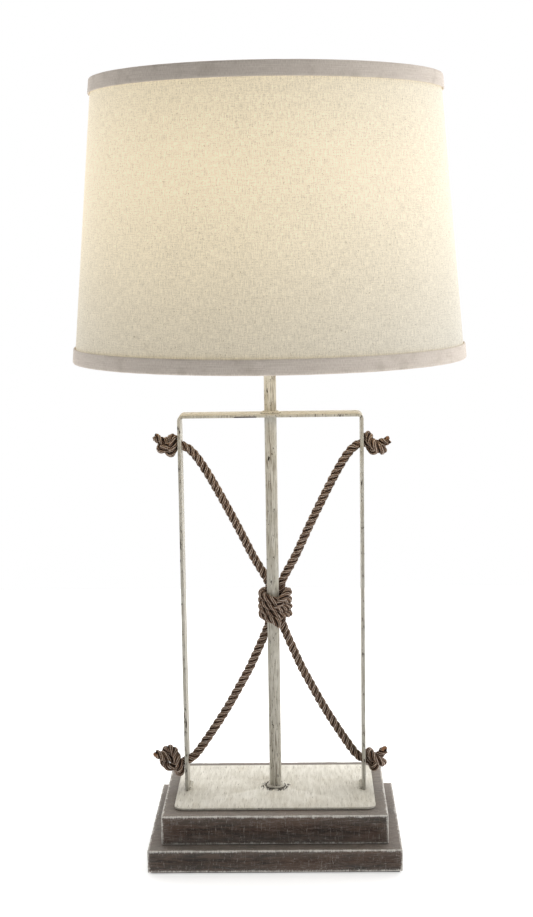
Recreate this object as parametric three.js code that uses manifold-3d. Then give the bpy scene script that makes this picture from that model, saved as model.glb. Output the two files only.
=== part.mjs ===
// Table lamp: a tapered drum shade on a harp, over a steel pole that stands inside a bent
// flat-bar frame on a stepped wooden base. Two ropes run through the frame's legs and are
// lashed to the pole.
// Millimetres, +Z up, front towards -Y. The origin is the middle of the felt underside.
import * as THREE from "three";
import { mergeVertices } from "three/addons/utils/BufferGeometryUtils.js";
import Module from "manifold-3d";

const wasm = await Module();
wasm.setup();

// ---- Driving dimensions ----
const GAP = 0.3; // between pieces that rest on each other
const BORE_GAP = 0.3; // radial, between a rod and its hole
const FINE = 48; // segments of the shade's rounds
const ROUND = 16; // segments of rods, tubes and cups
const SMALL = 10; // segments of screws and other small rounds

// Base, from the felt up
const FELT = { width: 255, depth: 192, height: 1.5 };
const LOWER = { width: 261, depth: 198, height: 23 };
const UPPER = { width: 234, depth: 166, height: 30.2 };
const PLATE = { width: 210, depth: 133, height: 2.5, corner: 11 };
const RECESS = { radius: 20, depth: 12 }; // under the lower plinth, for the nut
const CHANNEL_RADIUS = 6; // from the recess to the rear face, for a mains cord
const CHANNEL_HEIGHT = 9.5; // of its axis above the lower plinth's underside
const OUTLET = { flange: 8.5, lip: 2, length: 14, bore: 3.7 };
const BASE_SCREW = { x: 92, y: 62, shank: 2, head: 4.2, length: 42, sunk: 1.2 };

// Lamp pipe inside the pole's foot, with its washer and nut
const PIPE = { radius: 4.85, bore: 3.5 };
const WASHER = { radius: 14, height: 1.5 };
const NUT = { radius: 9.2, height: 6 };
const FOOT_PIPE_RISE = 30; // above the plate

// Pole and frame
const POLE = { radius: 6.35, bore: 5.15, top: 585 };
const BAR = { depth: 32, thickness: 3.2, bend: 6 };
const FRAME_WIDTH = 193;
const FRAME_TOP = 463;
const POLE_WELD = { width: 3, height: 2.2 };
const FOOT_WELD = { length: 22, size: 3.2 };

// Ropes: each bows from its upper leg hole to the pole and back out to its lower one
const ROPE_RADIUS = 4;
const ROPE_HOLE = 5.2;
const ROPE_HOLE_TOP = 431;
const ROPE_HOLE_FOOT = 87;
const ROPE_AT_POLE = { x: 5.5, y: 9.2 };
const LASHING = { bottom: 241, top: 277 };
const KNOT = { x: 11.3, y: 12, z: 14 }; // half sizes of a stopper knot
const TAIL_LENGTH = 17;

// Lamp holder, harp and bulb
const NIPPLE_IN_POLE = 28;
const SADDLE = { width: 12, thickness: 1.6, reach: 30, rise: 13, tab: 4.4, cornerRise: 5, pinHold: 9 };
const CAP = { radius: 17, neck: 8, height: 26, wall: 1, collarRise: 6, coneRise: 17 };
const SHELL = { radius: 15.9, wall: 0.7, bottom: 608, top: 646, bead: 0.6, lip: 1.6 };
const LINER_WALL = 0.5;
const HOLDER = { bottom: 604.5, top: 622, chamfer: 3 };
const CUP = { radius: 13.9, wall: 0.5, top: 643, hole: 5 };
const CONTACT = { radius: 3, height: 1.2 };
const KNOB = { height: 615, shaft: 1.5, radius: 6.5, length: 11, ribs: 12, groove: 1, clear: 1.5 };
const BULB = { base: 13, bottom: 625, collar: 650, radius: 30, widest: 700, top: 736, wall: 1 };
const BULB_CAP = { wall: 0.8, rim: 9, hole: 5.3, cone: 3 };
const BULB_CONTACT = { tip: 2.5, radius: 5, height: 4.5 };
const BULB_NECK = [ // radius and height above the collar of the pear's lower half
  { radius: 11.6, rise: -8 },
  { radius: 11.6, rise: 2 },
  { radius: 14.5, rise: 10 },
  { radius: 21, rise: 22 },
  { radius: 27.5, rise: 36 },
];
const HARP = { wire: 1.6, start: 606.5, straight: 628, top: 782 };
const HARP_EYE = { radius: 7.5, half: 1.5 }; // the flattened top, and half its thickness
const HARP_BENDS = [ // between its feet and its eye
  { x: 41, z: 652 },
  { x: 55, z: 700 },
  { x: 49, z: 738 },
  { x: 34, z: 765 },
  { x: 16, z: 780 },
];
const SLEEVE = { bore: 1.95, radius: 3.1, bottom: 599, length: 15 };
const STUD = { disc: 8, seat: 786, radius: 3.1, top: 801, rivet: 2, rivetTail: 3 };
const FINIAL = { collar: 6, collarHeight: 2.5, neck: 4.6, ball: 7.6, height: 22, bore: 3.45 };

// Shade
const SHADE = { bottom: 520, top: 804, outerBottom: 203, outerTop: 178.7 };
const TRIM = { proud: 2, height: 15, fold: 1.1, inside: 9 };
const CLOTH = 0.6;
const LINING = 0.5;
const RING = 1.3; // wire radius of both shade rings
const SPIDER = { washer: 12, hole: 3.5, seat: 786.3, thickness: 1.6, arms: 3 };

// ---- Heights and radii worked out from them ----
const lowerBottom = FELT.height + GAP;
const lowerTop = lowerBottom + LOWER.height;
const upperBottom = lowerTop + GAP;
const upperTop = upperBottom + UPPER.height;
const plateBottom = upperTop + GAP;
const plateTop = plateBottom + PLATE.height;
const footHeight = plateTop + GAP;
const halfFrame = FRAME_WIDTH / 2;
const shadeSlope = (SHADE.outerBottom - SHADE.outerTop) / (SHADE.top - SHADE.bottom);
const trimRadius = (z) => SHADE.outerBottom - shadeSlope * (z - SHADE.bottom);
const clothRadius = (z) => trimRadius(z) - TRIM.proud - GAP;
const liningRadius = (z) => clothRadius(z) - CLOTH - GAP;
const ringRadius = (z) => liningRadius(z) - LINING - GAP - RING;

// ---- Finishes ----
const finish = (color, roughness, metalness = 0) => ({ color, roughness, metalness });
const FINISH = {
  felt: finish(0x4a4038, 0.95),
  wood: finish(0x554a46, 0.75),
  cream: finish(0xd8d4c4, 0.5),
  steel: finish(0x9c9a95, 0.4, 1),
  brass: finish(0xb08d4a, 0.35, 1),
  black: finish(0x1d1b1a, 0.5),
  card: finish(0x8d7a63, 0.9),
  rope: finish(0x6e5548, 0.9),
  cloth: finish(0xe9dcc6, 0.9),
  trim: finish(0xa39890, 0.85),
  lining: finish(0xf4efe4, 0.5),
  bulb: finish(0xfff1d6, 0.3),
};

// ---- Solids ----
const volumeOf = (geometry) => {
  const place = geometry.attributes.position;
  const index = geometry.index;
  const [a, b, c] = [new THREE.Vector3(), new THREE.Vector3(), new THREE.Vector3()];
  let volume = 0;
  for (let i = 0; i < index.count; i += 3) {
    a.fromBufferAttribute(place, index.getX(i));
    b.fromBufferAttribute(place, index.getX(i + 1));
    c.fromBufferAttribute(place, index.getX(i + 2));
    volume += a.dot(b.cross(c)) / 6;
  }
  return volume;
};

// One closed body with shared vertices, no collapsed faces, and faces pointing out.
const closed = (geometry) => {
  const bare = new THREE.BufferGeometry();
  bare.setAttribute("position", geometry.attributes.position.clone());
  if (geometry.index) bare.setIndex(geometry.index.clone());
  const merged = mergeVertices(bare, 1e-4);
  const corners = Array.from(merged.index.array);
  const kept = [];
  for (let i = 0; i < corners.length; i += 3) {
    const [a, b, c] = corners.slice(i, i + 3);
    if (a !== b && b !== c && c !== a) kept.push(a, b, c);
  }
  merged.setIndex(kept);
  if (volumeOf(merged) < 0) merged.setIndex(kept.reverse());
  return merged;
};

const toManifold = (geometry) => {
  const body = closed(geometry);
  return new wasm.Manifold(
    new wasm.Mesh({
      numProp: 3,
      vertProperties: new Float32Array(body.attributes.position.array),
      triVerts: new Uint32Array(body.index.array),
    }),
  );
};

const toGeometry = (manifold) => {
  const mesh = manifold.getMesh();
  const geometry = new THREE.BufferGeometry();
  geometry.setAttribute("position", new THREE.BufferAttribute(mesh.vertProperties, 3));
  geometry.setIndex(new THREE.BufferAttribute(mesh.triVerts, 1));
  return geometry;
};

const cut = (body, ...tools) =>
  toGeometry(tools.reduce((rest, tool) => rest.subtract(toManifold(tool)), toManifold(body)));

const join = (...bodies) =>
  toGeometry(bodies.map(toManifold).reduce((whole, body) => whole.add(body)));

const block = (width, depth, height, z) =>
  new THREE.BoxGeometry(width, depth, height).translate(0, 0, z + height / 2);

// A solid of revolution about Z from [radius, z] points. A profile that is off the axis
// closes on itself.
const turned = (profile, segments = ROUND) => {
  const points = profile.map(([radius, z]) => new THREE.Vector2(radius, z));
  const last = points.at(-1);
  if (points[0].x > 0 || last.x > 0) points.push(points[0].clone());
  return closed(new THREE.LatheGeometry(points, segments).rotateX(Math.PI / 2));
};

const rod = (radius, bottom, top, segments = ROUND) =>
  turned([[0, bottom], [radius, bottom], [radius, top], [0, top]], segments);

const tube = (radius, bore, bottom, top, segments = ROUND) =>
  turned([[bore, bottom], [radius, bottom], [radius, top], [bore, top]], segments);

const alongX = (geometry) => geometry.rotateY(Math.PI / 2);
const alongY = (geometry) => geometry.rotateX(-Math.PI / 2);

const circle = (radius, sides) => {
  const shape = new THREE.Shape();
  for (let i = 0; i < sides; i += 1) {
    const angle = (2 * Math.PI * i) / sides;
    shape[i ? "lineTo" : "moveTo"](radius * Math.cos(angle), radius * Math.sin(angle));
  }
  return shape;
};

const swept = (points, radius, sides, step) => {
  const path = new THREE.CatmullRomCurve3(points, false, "centripetal");
  const steps = Math.ceil(path.getLength() / step);
  return closed(
    new THREE.ExtrudeGeometry(circle(radius, sides), { steps, extrudePath: path }),
  );
};

const extruded = (shape, depth, curveSegments = 6) =>
  new THREE.ExtrudeGeometry(shape, { depth, bevelEnabled: false, curveSegments });

// An outline in X and Z, extruded along Y about the middle plane.
const uprightPlate = (shape, depth) =>
  extruded(shape, depth).rotateX(Math.PI / 2).translate(0, depth / 2, 0);

const point = (x, y, z) => new THREE.Vector3(x, y, z);

const lamp = new THREE.Group();
const add = (name, geometry, look) => {
  const mesh = new THREE.Mesh(geometry, new THREE.MeshStandardMaterial(look));
  mesh.name = name;
  lamp.add(mesh);
};

// ---- Base ----
const screwPlaces = [-1, 1].flatMap((sx) =>
  [-1, 1].map((sy) => [sx * BASE_SCREW.x, sy * BASE_SCREW.y]),
);
const screwHeadBottom = lowerBottom + BASE_SCREW.sunk;

const baseScrew = (grow) => {
  const { head, shank, length } = BASE_SCREW;
  const top = screwHeadBottom + length + grow;
  const bottom = grow ? lowerBottom - 1 : screwHeadBottom;
  return turned(
    [
      [0, bottom],
      [head + grow, bottom],
      [head + grow, screwHeadBottom + grow],
      [shank + grow, screwHeadBottom + grow + head - shank],
      [shank + grow, top],
      [0, top],
    ],
    SMALL,
  );
};

const screwHoles = () =>
  screwPlaces.map(([x, y]) => baseScrew(BORE_GAP).translate(x, y, 0));

const pipeHole = (bottom, top) => rod(PIPE.radius + BORE_GAP, bottom - 1, top + 1);

const addBase = () => {
  add("felt_pad", block(FELT.width, FELT.depth, FELT.height, 0), FINISH.felt);

  const recessTop = lowerBottom + RECESS.depth;
  const channel = alongY(rod(CHANNEL_RADIUS + BORE_GAP / 2, 0, LOWER.depth)).translate(
    0,
    0,
    lowerBottom + CHANNEL_HEIGHT,
  );
  const lower = cut(
    block(LOWER.width, LOWER.depth, LOWER.height, lowerBottom),
    rod(RECESS.radius, lowerBottom - 1, recessTop),
    pipeHole(lowerBottom, lowerTop),
    channel,
    ...screwHoles(),
  );
  add("lower_plinth", lower, FINISH.wood);

  const upper = cut(
    block(UPPER.width, UPPER.depth, UPPER.height, upperBottom),
    pipeHole(upperBottom, upperTop),
    ...screwHoles(),
  );
  add("upper_plinth", upper, FINISH.wood);

  const [halfWidth, halfDepth, corner] = [PLATE.width / 2, PLATE.depth / 2, PLATE.corner];
  const outline = new THREE.Shape();
  outline.absarc(halfWidth - corner, halfDepth - corner, corner, 0, Math.PI / 2);
  outline.absarc(corner - halfWidth, halfDepth - corner, corner, Math.PI / 2, Math.PI);
  outline.absarc(corner - halfWidth, corner - halfDepth, corner, Math.PI, 1.5 * Math.PI);
  outline.absarc(halfWidth - corner, corner - halfDepth, corner, 1.5 * Math.PI, 2 * Math.PI);
  const plate = cut(
    extruded(outline, PLATE.height).translate(0, 0, plateBottom),
    pipeHole(plateBottom, plateTop),
  );
  add("base_plate", plate, FINISH.cream);

  screwPlaces.forEach(([x, y], i) => {
    add(`base_screw_${i + 1}`, baseScrew(0).translate(x, y, 0), FINISH.steel);
  });

  const washerBottom = recessTop - GAP - WASHER.height;
  const nutBottom = washerBottom - GAP - NUT.height;
  const pipeBottom = nutBottom - 1;
  const pipeTop = plateTop + FOOT_PIPE_RISE;
  add("foot_pipe", tube(PIPE.radius, PIPE.bore, pipeBottom, pipeTop), FINISH.steel);
  const threadHole = PIPE.radius + BORE_GAP;
  add(
    "base_washer",
    tube(WASHER.radius, threadHole, washerBottom, washerBottom + WASHER.height),
    FINISH.steel,
  );
  const nut = cut(
    rod(NUT.radius, nutBottom, nutBottom + NUT.height, 6),
    rod(threadHole, nutBottom - 1, nutBottom + NUT.height + 1),
  );
  add("base_nut", nut, FINISH.steel);

  const sleeveRadius = CHANNEL_RADIUS - BORE_GAP / 2;
  const outlet = turned([
    [OUTLET.bore, -OUTLET.length],
    [sleeveRadius, -OUTLET.length],
    [sleeveRadius, GAP],
    [OUTLET.flange, GAP],
    [OUTLET.flange, OUTLET.lip],
    [OUTLET.bore, GAP + OUTLET.lip],
  ]);
  const rear = LOWER.depth / 2;
  add(
    "cord_outlet_bushing",
    alongY(outlet).translate(0, rear, lowerBottom + CHANNEL_HEIGHT),
    FINISH.black,
  );
};

// ---- Pole, frame and welds ----
const addStand = () => {
  add("pole", tube(POLE.radius, POLE.bore, footHeight, POLE.top), FINISH.cream);

  const { thickness, bend, depth } = BAR;
  const inner = halfFrame - thickness;
  const innerTop = FRAME_TOP - thickness;
  const innerBend = bend - thickness;
  const outline = new THREE.Shape();
  outline.moveTo(halfFrame, footHeight);
  outline.absarc(halfFrame - bend, FRAME_TOP - bend, bend, 0, Math.PI / 2);
  outline.absarc(bend - halfFrame, FRAME_TOP - bend, bend, Math.PI / 2, Math.PI);
  outline.lineTo(-halfFrame, footHeight);
  outline.lineTo(-inner, footHeight);
  outline.absarc(innerBend - inner, innerTop - innerBend, innerBend, Math.PI, Math.PI / 2, true);
  outline.absarc(inner - innerBend, innerTop - innerBend, innerBend, Math.PI / 2, 0, true);
  outline.lineTo(inner, footHeight);
  const holes = [-1, 1].flatMap((side) =>
    [ROPE_HOLE_TOP, ROPE_HOLE_FOOT].map((z) =>
      alongX(rod(ROPE_HOLE, -2 * thickness, 2 * thickness)).translate(side * halfFrame, 0, z),
    ),
  );
  const frame = cut(
    uprightPlate(outline, depth),
    rod(POLE.radius + BORE_GAP, innerTop - 1, FRAME_TOP + 1),
    ...holes,
  );
  add("rope_frame", frame, FINISH.cream);

  const bead = (bottom) =>
    turned([
      [POLE.radius + BORE_GAP, bottom],
      [POLE.radius + POLE_WELD.width, bottom],
      [POLE.radius + 0.6 * POLE_WELD.width, bottom + 0.7 * POLE_WELD.height],
      [POLE.radius + BORE_GAP, bottom + POLE_WELD.height],
    ]);
  add("pole_foot_weld", bead(plateTop + GAP), FINISH.cream);
  add("pole_bar_weld", bead(FRAME_TOP + GAP), FINISH.cream);

  const size = FOOT_WELD.size;
  for (const [side, word] of [[-1, "left"], [1, "right"]]) {
    const section = new THREE.Shape();
    section.moveTo(0, 0);
    section.lineTo(size, 0);
    section.lineTo(0.65 * size, 0.65 * size);
    section.lineTo(0, size);
    const weld = uprightPlate(section, FOOT_WELD.length);
    if (side > 0) weld.scale(-1, 1, 1);
    weld.translate(side * (inner - GAP), 0, plateTop + GAP);
    add(`leg_weld_${word}`, closed(weld), FINISH.cream);
  }
};

// ---- Ropes ----
// Half of a rope's route, from the knot to the pole: [distance from the pole, height].
const UPPER_ROUTE = [
  [106, ROPE_HOLE_TOP],
  [97, ROPE_HOLE_TOP],
  [91, 430],
  [84, 424.5],
  [77, 415.5],
  [66, 397],
  [52, 370],
  [37, 340],
  [22, 308],
  [10.5, 288],
  [6, 280],
  [ROPE_AT_POLE.x, 271],
];
const LOWER_ROUTE = [
  [ROPE_AT_POLE.x, 247],
  [6, 238],
  [9.5, 229],
  [15, 216],
  [28, 187],
  [49, 149],
  [60, 131],
  [74, 110],
  [84, 95.5],
  [91, 88],
  [97, ROPE_HOLE_FOOT],
  [106, ROPE_HOLE_FOOT],
];

const ropePath = (side) => {
  const reach = halfFrame - ROPE_AT_POLE.x;
  return [...UPPER_ROUTE, ...LOWER_ROUTE].map(([out, z]) => {
    const share = THREE.MathUtils.clamp((halfFrame - out) / reach, 0, 1);
    return point(side * out, ROPE_AT_POLE.y * share, z);
  });
};

const stopperKnot = (side, z, tailLift) => {
  const x = side * (halfFrame + GAP + KNOT.x);
  const ball = new THREE.SphereGeometry(1, 12, 8).scale(KNOT.x, KNOT.y, KNOT.z);
  const tail = rod(ROPE_RADIUS, 0, TAIL_LENGTH, 8)
    .rotateY(side * (Math.PI / 2 - tailLift))
    .translate(x, 0, z);
  return join(ball.translate(x, 0, z), tail);
};

// The outline of a band pulled tight round the pole and both ropes, `spare` away from them.
const bandOutline = (spare, Outline = THREE.Shape) => {
  const rods = [
    [0, 0, POLE.radius],
    [ROPE_AT_POLE.x, ROPE_AT_POLE.y, ROPE_RADIUS],
    [-ROPE_AT_POLE.x, ROPE_AT_POLE.y, ROPE_RADIUS],
  ];
  const points = [];
  const sides = 32;
  for (let i = 0; i < sides; i += 1) {
    const angle = (2 * Math.PI * (i + 0.5)) / sides;
    const [ux, uy] = [Math.cos(angle), Math.sin(angle)];
    const reach = ([x, y, radius]) => x * ux + y * uy + radius;
    const [x, y, radius] = rods.reduce((far, next) => (reach(next) > reach(far) ? next : far));
    points.push(new THREE.Vector2(x + (radius + spare) * ux, y + (radius + spare) * uy));
  }
  return new Outline(points);
};

const addRopes = () => {
  const tailLift = { top: 0.6, foot: 0.75 };
  for (const [side, word] of [[-1, "left"], [1, "right"]]) {
    const rope = join(
      swept(ropePath(side), ROPE_RADIUS, 8, 3.5 * ROPE_RADIUS),
      stopperKnot(side, ROPE_HOLE_TOP, tailLift.top),
      stopperKnot(side, ROPE_HOLE_FOOT, tailLift.foot),
    );
    add(`rope_${word}`, rope, FINISH.rope);
  }
  const clearance = 1.2; // the ropes fan out a little at both ends of the lashing
  const band = bandOutline(clearance + 2 * ROPE_RADIUS);
  band.holes.push(bandOutline(clearance, THREE.Path));
  const lashing = extruded(band, LASHING.top - LASHING.bottom).translate(0, 0, LASHING.bottom);
  add("rope_lashing", closed(lashing), FINISH.rope);
};

// ---- Lamp holder ----
const addHolder = () => {
  const top = POLE.top + GAP;
  const nippleTop = HOLDER.bottom - 1;
  add("neck_nipple", tube(PIPE.radius, PIPE.bore, POLE.top - NIPPLE_IN_POLE, nippleTop), FINISH.steel);

  const { width, thickness, reach, rise, tab, cornerRise, pinHold } = SADDLE;
  const strip = new THREE.Shape();
  strip.moveTo(-reach - thickness / 2, top);
  strip.lineTo(reach + thickness / 2, top);
  strip.lineTo(reach + thickness / 2, top + rise);
  strip.lineTo(reach - thickness / 2, top + rise);
  strip.lineTo(reach - thickness / 2, top + thickness);
  strip.lineTo(thickness / 2 - reach, top + thickness);
  strip.lineTo(thickness / 2 - reach, top + rise);
  strip.lineTo(-reach - thickness / 2, top + rise);
  const pin = (side) =>
    rod(HARP.wire, top + rise - pinHold, HARP.start - GAP, SMALL).translate(side * reach, 0, 0);
  const wings = [-1, 1].map((sy) =>
    block(3 * reach, width, rise, top + thickness + cornerRise).translate(0, sy * (width + tab) / 2, 0),
  );
  const saddle = join(
    cut(
      uprightPlate(strip, width),
      ...wings,
      rod(PIPE.radius + BORE_GAP, top - 1, top + thickness + 1),
    ),
    pin(-1),
    pin(1),
  );
  add("harp_saddle", saddle, FINISH.brass);

  const capBottom = top + thickness + GAP;
  const hole = PIPE.radius + BORE_GAP;
  const capTop = capBottom + CAP.height;
  const shaftHole = (radius) =>
    alongY(rod(radius, -2 * CAP.radius, 0, SMALL)).translate(0, 0, KNOB.height);
  const cap = turned([
    [hole, capBottom],
    [CAP.neck, capBottom],
    [CAP.neck + 2 * CAP.wall, capBottom + CAP.collarRise],
    [CAP.radius, capBottom + CAP.coneRise],
    [CAP.radius, capTop],
    [CAP.radius - CAP.wall, capTop],
    [CAP.radius - CAP.wall, capBottom + CAP.coneRise + CAP.wall / 2],
    [CAP.neck + CAP.wall, capBottom + CAP.collarRise + CAP.wall],
    [hole, capBottom + 4 * CAP.wall],
  ]);
  const knobHole = KNOB.shaft + 2 * BORE_GAP;
  add("socket_cap", cut(cap, shaftHole(knobHole)), FINISH.brass);

  const shell = turned([
    [SHELL.radius - SHELL.wall, SHELL.bottom],
    [SHELL.radius - BORE_GAP, SHELL.bottom],
    [SHELL.radius - BORE_GAP, capTop],
    [SHELL.radius + SHELL.bead, capTop + 1],
    [SHELL.radius, capTop + 4],
    [SHELL.radius, SHELL.top],
    [SHELL.radius - SHELL.lip, SHELL.top],
    [SHELL.radius - SHELL.lip, SHELL.top - SHELL.lip / 2],
    [SHELL.radius - SHELL.wall, SHELL.top - SHELL.wall - 0.5],
  ]);
  add("socket_shell", cut(shell, shaftHole(knobHole)), FINISH.brass);

  const linerOuter = SHELL.radius - SHELL.wall - BORE_GAP;
  const liner = tube(linerOuter, linerOuter - LINER_WALL, SHELL.bottom, SHELL.top - SHELL.lip);
  add("socket_liner", cut(liner, shaftHole(knobHole)), FINISH.card);

  const bodyRadius = linerOuter - LINER_WALL - BORE_GAP;
  const body = cut(
    turned([
      [0, HOLDER.bottom],
      [bodyRadius - HOLDER.chamfer, HOLDER.bottom],
      [bodyRadius, HOLDER.bottom + HOLDER.chamfer],
      [bodyRadius, HOLDER.top],
      [0, HOLDER.top],
    ]),
    alongY(rod(KNOB.shaft + BORE_GAP, -2 * CAP.radius, -4, SMALL)).translate(0, 0, KNOB.height),
  );
  add("switch_housing", body, FINISH.black);

  const cupBottom = HOLDER.top + GAP;
  const cup = turned([
    [CUP.hole, cupBottom],
    [CUP.radius, cupBottom],
    [CUP.radius, CUP.top],
    [CUP.radius - CUP.wall, CUP.top],
    [CUP.radius - CUP.wall, cupBottom + CUP.wall],
    [CUP.hole, cupBottom + CUP.wall],
  ]);
  add("screw_shell", cup, FINISH.brass);
  const contactTop = cupBottom + CONTACT.height;
  add("centre_contact", rod(CONTACT.radius, cupBottom, contactTop, SMALL), FINISH.brass);

  const outside = CAP.radius + KNOB.clear;
  const grip = new THREE.Shape();
  for (let i = 0; i < 2 * KNOB.ribs; i += 1) {
    const angle = (Math.PI * i) / KNOB.ribs;
    const radius = KNOB.radius - KNOB.groove * (i % 2);
    grip[i ? "lineTo" : "moveTo"](radius * Math.cos(angle), radius * Math.sin(angle));
  }
  const knob = join(
    rod(KNOB.shaft, 5, outside + 1, SMALL),
    extruded(grip, KNOB.length).translate(0, 0, outside),
  );
  add(
    "switch_knob",
    knob.rotateX(Math.PI / 2).translate(0, 0, KNOB.height),
    FINISH.black,
  );
};

// ---- Bulb ----
const addBulb = () => {
  const { base, bottom, collar, radius, widest, top, wall } = BULB;
  const insulator = bottom + BULB_CONTACT.tip;
  add(
    "bulb_contact",
    turned(
      [
        [0, bottom],
        [BULB_CONTACT.tip, bottom],
        [BULB_CONTACT.radius, insulator - 0.5],
        [BULB_CONTACT.radius, bottom + BULB_CONTACT.height],
        [0, bottom + BULB_CONTACT.height],
      ],
      SMALL,
    ),
    FINISH.black,
  );
  add(
    "bulb_cap",
    turned([
      [BULB_CAP.hole, insulator],
      [BULB_CAP.rim, insulator],
      [base, insulator + BULB_CAP.cone],
      [base, collar],
      [base - BULB_CAP.wall, collar],
      [base - BULB_CAP.wall, insulator + BULB_CAP.cone + 0.5],
      [BULB_CAP.rim - 0.4, insulator + BULB_CAP.wall],
      [BULB_CAP.hole, insulator + BULB_CAP.wall],
    ]),
    FINISH.steel,
  );
  const outline = BULB_NECK.map((spot) => [spot.radius, collar + spot.rise]);
  const crown = top - widest;
  const steps = 5;
  for (let i = 0; i < steps; i += 1) {
    const angle = (Math.PI / 2) * (i / steps);
    outline.push([radius * Math.cos(angle), widest + crown * Math.sin(angle)]);
  }
  const inside = outline.map(([r, z]) => [r - wall, z]).reverse();
  const innerTop = top - wall;
  const glass = turned([...outline, [0, top], [0, innerTop], ...inside]);
  add("bulb_glass", glass, FINISH.bulb);
};

// ---- Harp ----
const addHarp = () => {
  const { wire, start, straight, top } = HARP;
  const side = (s) => [
    point(s * SADDLE.reach, 0, start),
    point(s * SADDLE.reach, 0, (start + straight) / 2),
    point(s * SADDLE.reach, 0, straight),
    ...HARP_BENDS.map((bend) => point(s * bend.x, 0, bend.z)),
  ];
  const path = [...side(-1), point(0, 0, top), ...side(1).reverse()];
  const eye = rod(HARP_EYE.radius, top - HARP_EYE.half, top + HARP_EYE.half, ROUND);
  const rivet = rod(STUD.rivet + BORE_GAP, top - 4, top + 4, SMALL);
  add("harp", cut(join(swept(path, wire, 8, 10), eye), rivet), FINISH.brass);

  const { radius, bore, bottom, length } = SLEEVE;
  for (const [s, word] of [[-1, "left"], [1, "right"]]) {
    const sleeve = tube(radius, bore, bottom, bottom + length, SMALL);
    add(`harp_sleeve_${word}`, sleeve.translate(s * SADDLE.reach, 0, 0), FINISH.brass);
  }

  const discBottom = top + HARP_EYE.half + GAP;
  const stud = turned([
    [0, top - STUD.rivetTail],
    [STUD.rivet, top - STUD.rivetTail],
    [STUD.rivet, discBottom],
    [STUD.disc, discBottom],
    [STUD.disc, STUD.seat],
    [STUD.radius, STUD.seat],
    [STUD.radius, STUD.top],
    [0, STUD.top],
  ]);
  add("harp_stud", stud, FINISH.brass);

  const finialBottom = SPIDER.seat + SPIDER.thickness + GAP;
  const ballMiddle = finialBottom + FINIAL.height - FINIAL.ball;
  const profile = [
    [FINIAL.collar, finialBottom],
    [FINIAL.collar, finialBottom + FINIAL.collarHeight],
    [FINIAL.neck, finialBottom + 1.8 * FINIAL.collarHeight],
    [FINIAL.neck, ballMiddle - 6],
  ];
  const steps = 5;
  for (let i = 0; i < steps; i += 1) {
    const angle = -0.9 + ((Math.PI / 2 + 0.9) * i) / steps;
    profile.push([FINIAL.ball * Math.cos(angle), ballMiddle + FINIAL.ball * Math.sin(angle)]);
  }
  profile.push([0, finialBottom + FINIAL.height]);
  const boreTop = STUD.top + 0.5;
  const inside = [[0, boreTop], [FINIAL.bore, boreTop], [FINIAL.bore, finialBottom]];
  add("finial", turned([...profile, ...inside].reverse()), FINISH.brass);
};

// ---- Shade ----
const addShade = () => {
  const { bottom, top } = SHADE;
  const { height, fold, inside } = TRIM;
  const lowEdge = bottom + fold + GAP;
  const highEdge = top - fold - GAP;
  const skin = (outer, wall) =>
    turned(
      [
        [outer(lowEdge) - wall, lowEdge],
        [outer(lowEdge), lowEdge],
        [outer(highEdge), highEdge],
        [outer(highEdge) - wall, highEdge],
      ],
      FINE,
    );
  add("shade_fabric", skin(clothRadius, CLOTH), FINISH.cloth);
  add("shade_liner", skin(liningRadius, LINING), FINISH.lining);

  const hug = (z) => clothRadius(z) + GAP; // inner face of a trim's outer leg
  const ringInside = (z) => ringRadius(z) - RING - GAP;
  const lowTrim = turned(
    [
      [ringInside(bottom) - fold, bottom + 0.6],
      [ringInside(bottom), bottom],
      [trimRadius(bottom) - 0.8, bottom],
      [trimRadius(bottom), bottom + 0.8],
      [trimRadius(bottom + height), bottom + height - 0.8],
      [hug(bottom + height), bottom + height],
      [hug(bottom + fold), bottom + fold],
      [ringInside(bottom + fold), bottom + fold],
      [ringInside(bottom + inside), bottom + inside],
      [ringInside(bottom + inside) - fold, bottom + inside],
    ],
    FINE,
  );
  add("shade_bottom_trim", lowTrim, FINISH.trim);

  const highTrim = turned(
    [
      [hug(top - height), top - height],
      [trimRadius(top - height), top - height + 0.8],
      [trimRadius(top), top - 0.8],
      [trimRadius(top) - 0.8, top],
      [ringInside(top), top],
      [ringInside(top), top - fold],
      [hug(top - fold), top - fold],
    ],
    FINE,
  );
  add("shade_top_trim", highTrim, FINISH.trim);

  const ring = (z) => {
    const middle = ringRadius(z);
    const section = [];
    const sides = 6;
    for (let i = 0; i < sides; i += 1) {
      const angle = (2 * Math.PI * (i + 0.5)) / sides;
      section.push([middle + RING * Math.cos(angle), z + RING * Math.sin(angle)]);
    }
    return turned(section, FINE);
  };
  add("shade_lower_ring", ring(lowEdge + RING), FINISH.steel);

  const rim = highEdge - RING;
  const seat = SPIDER.seat;
  const armStart = point(SPIDER.washer - 2, 0, seat + SPIDER.thickness / 2);
  const armEnd = point(ringRadius(rim), 0, rim);
  const arms = Array.from({ length: SPIDER.arms }, (_, i) =>
    swept([armStart, armEnd], RING, 8, 200).rotateZ(Math.PI / 2 + (2 * Math.PI * i) / SPIDER.arms),
  );
  const washer = rod(SPIDER.washer, seat, seat + SPIDER.thickness);
  const hole = rod(SPIDER.hole, seat - 4, seat + 4);
  add("shade_spider", cut(join(washer, ring(rim), ...arms), hole), FINISH.steel);
};

addBase();
addStand();
addRopes();
addHolder();
addBulb();
addHarp();
addShade();

export default lamp;
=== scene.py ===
# %% [markdown]
# # A farmhouse table lamp of painted iron, limed wood and tarred rope
#
# The lamp stands on two stacked blocks of dark, limed wood. A flat bar bent into a tall arch is
# welded to an iron pole, and two ropes cross the arch like an hourglass, lashed to the pole in the
# middle. A tapered linen shade hangs on a harp round one bulb. Every piece below is built for
# itself, in the order in which a workshop would make it.

# %% Load the frame
import math

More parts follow.
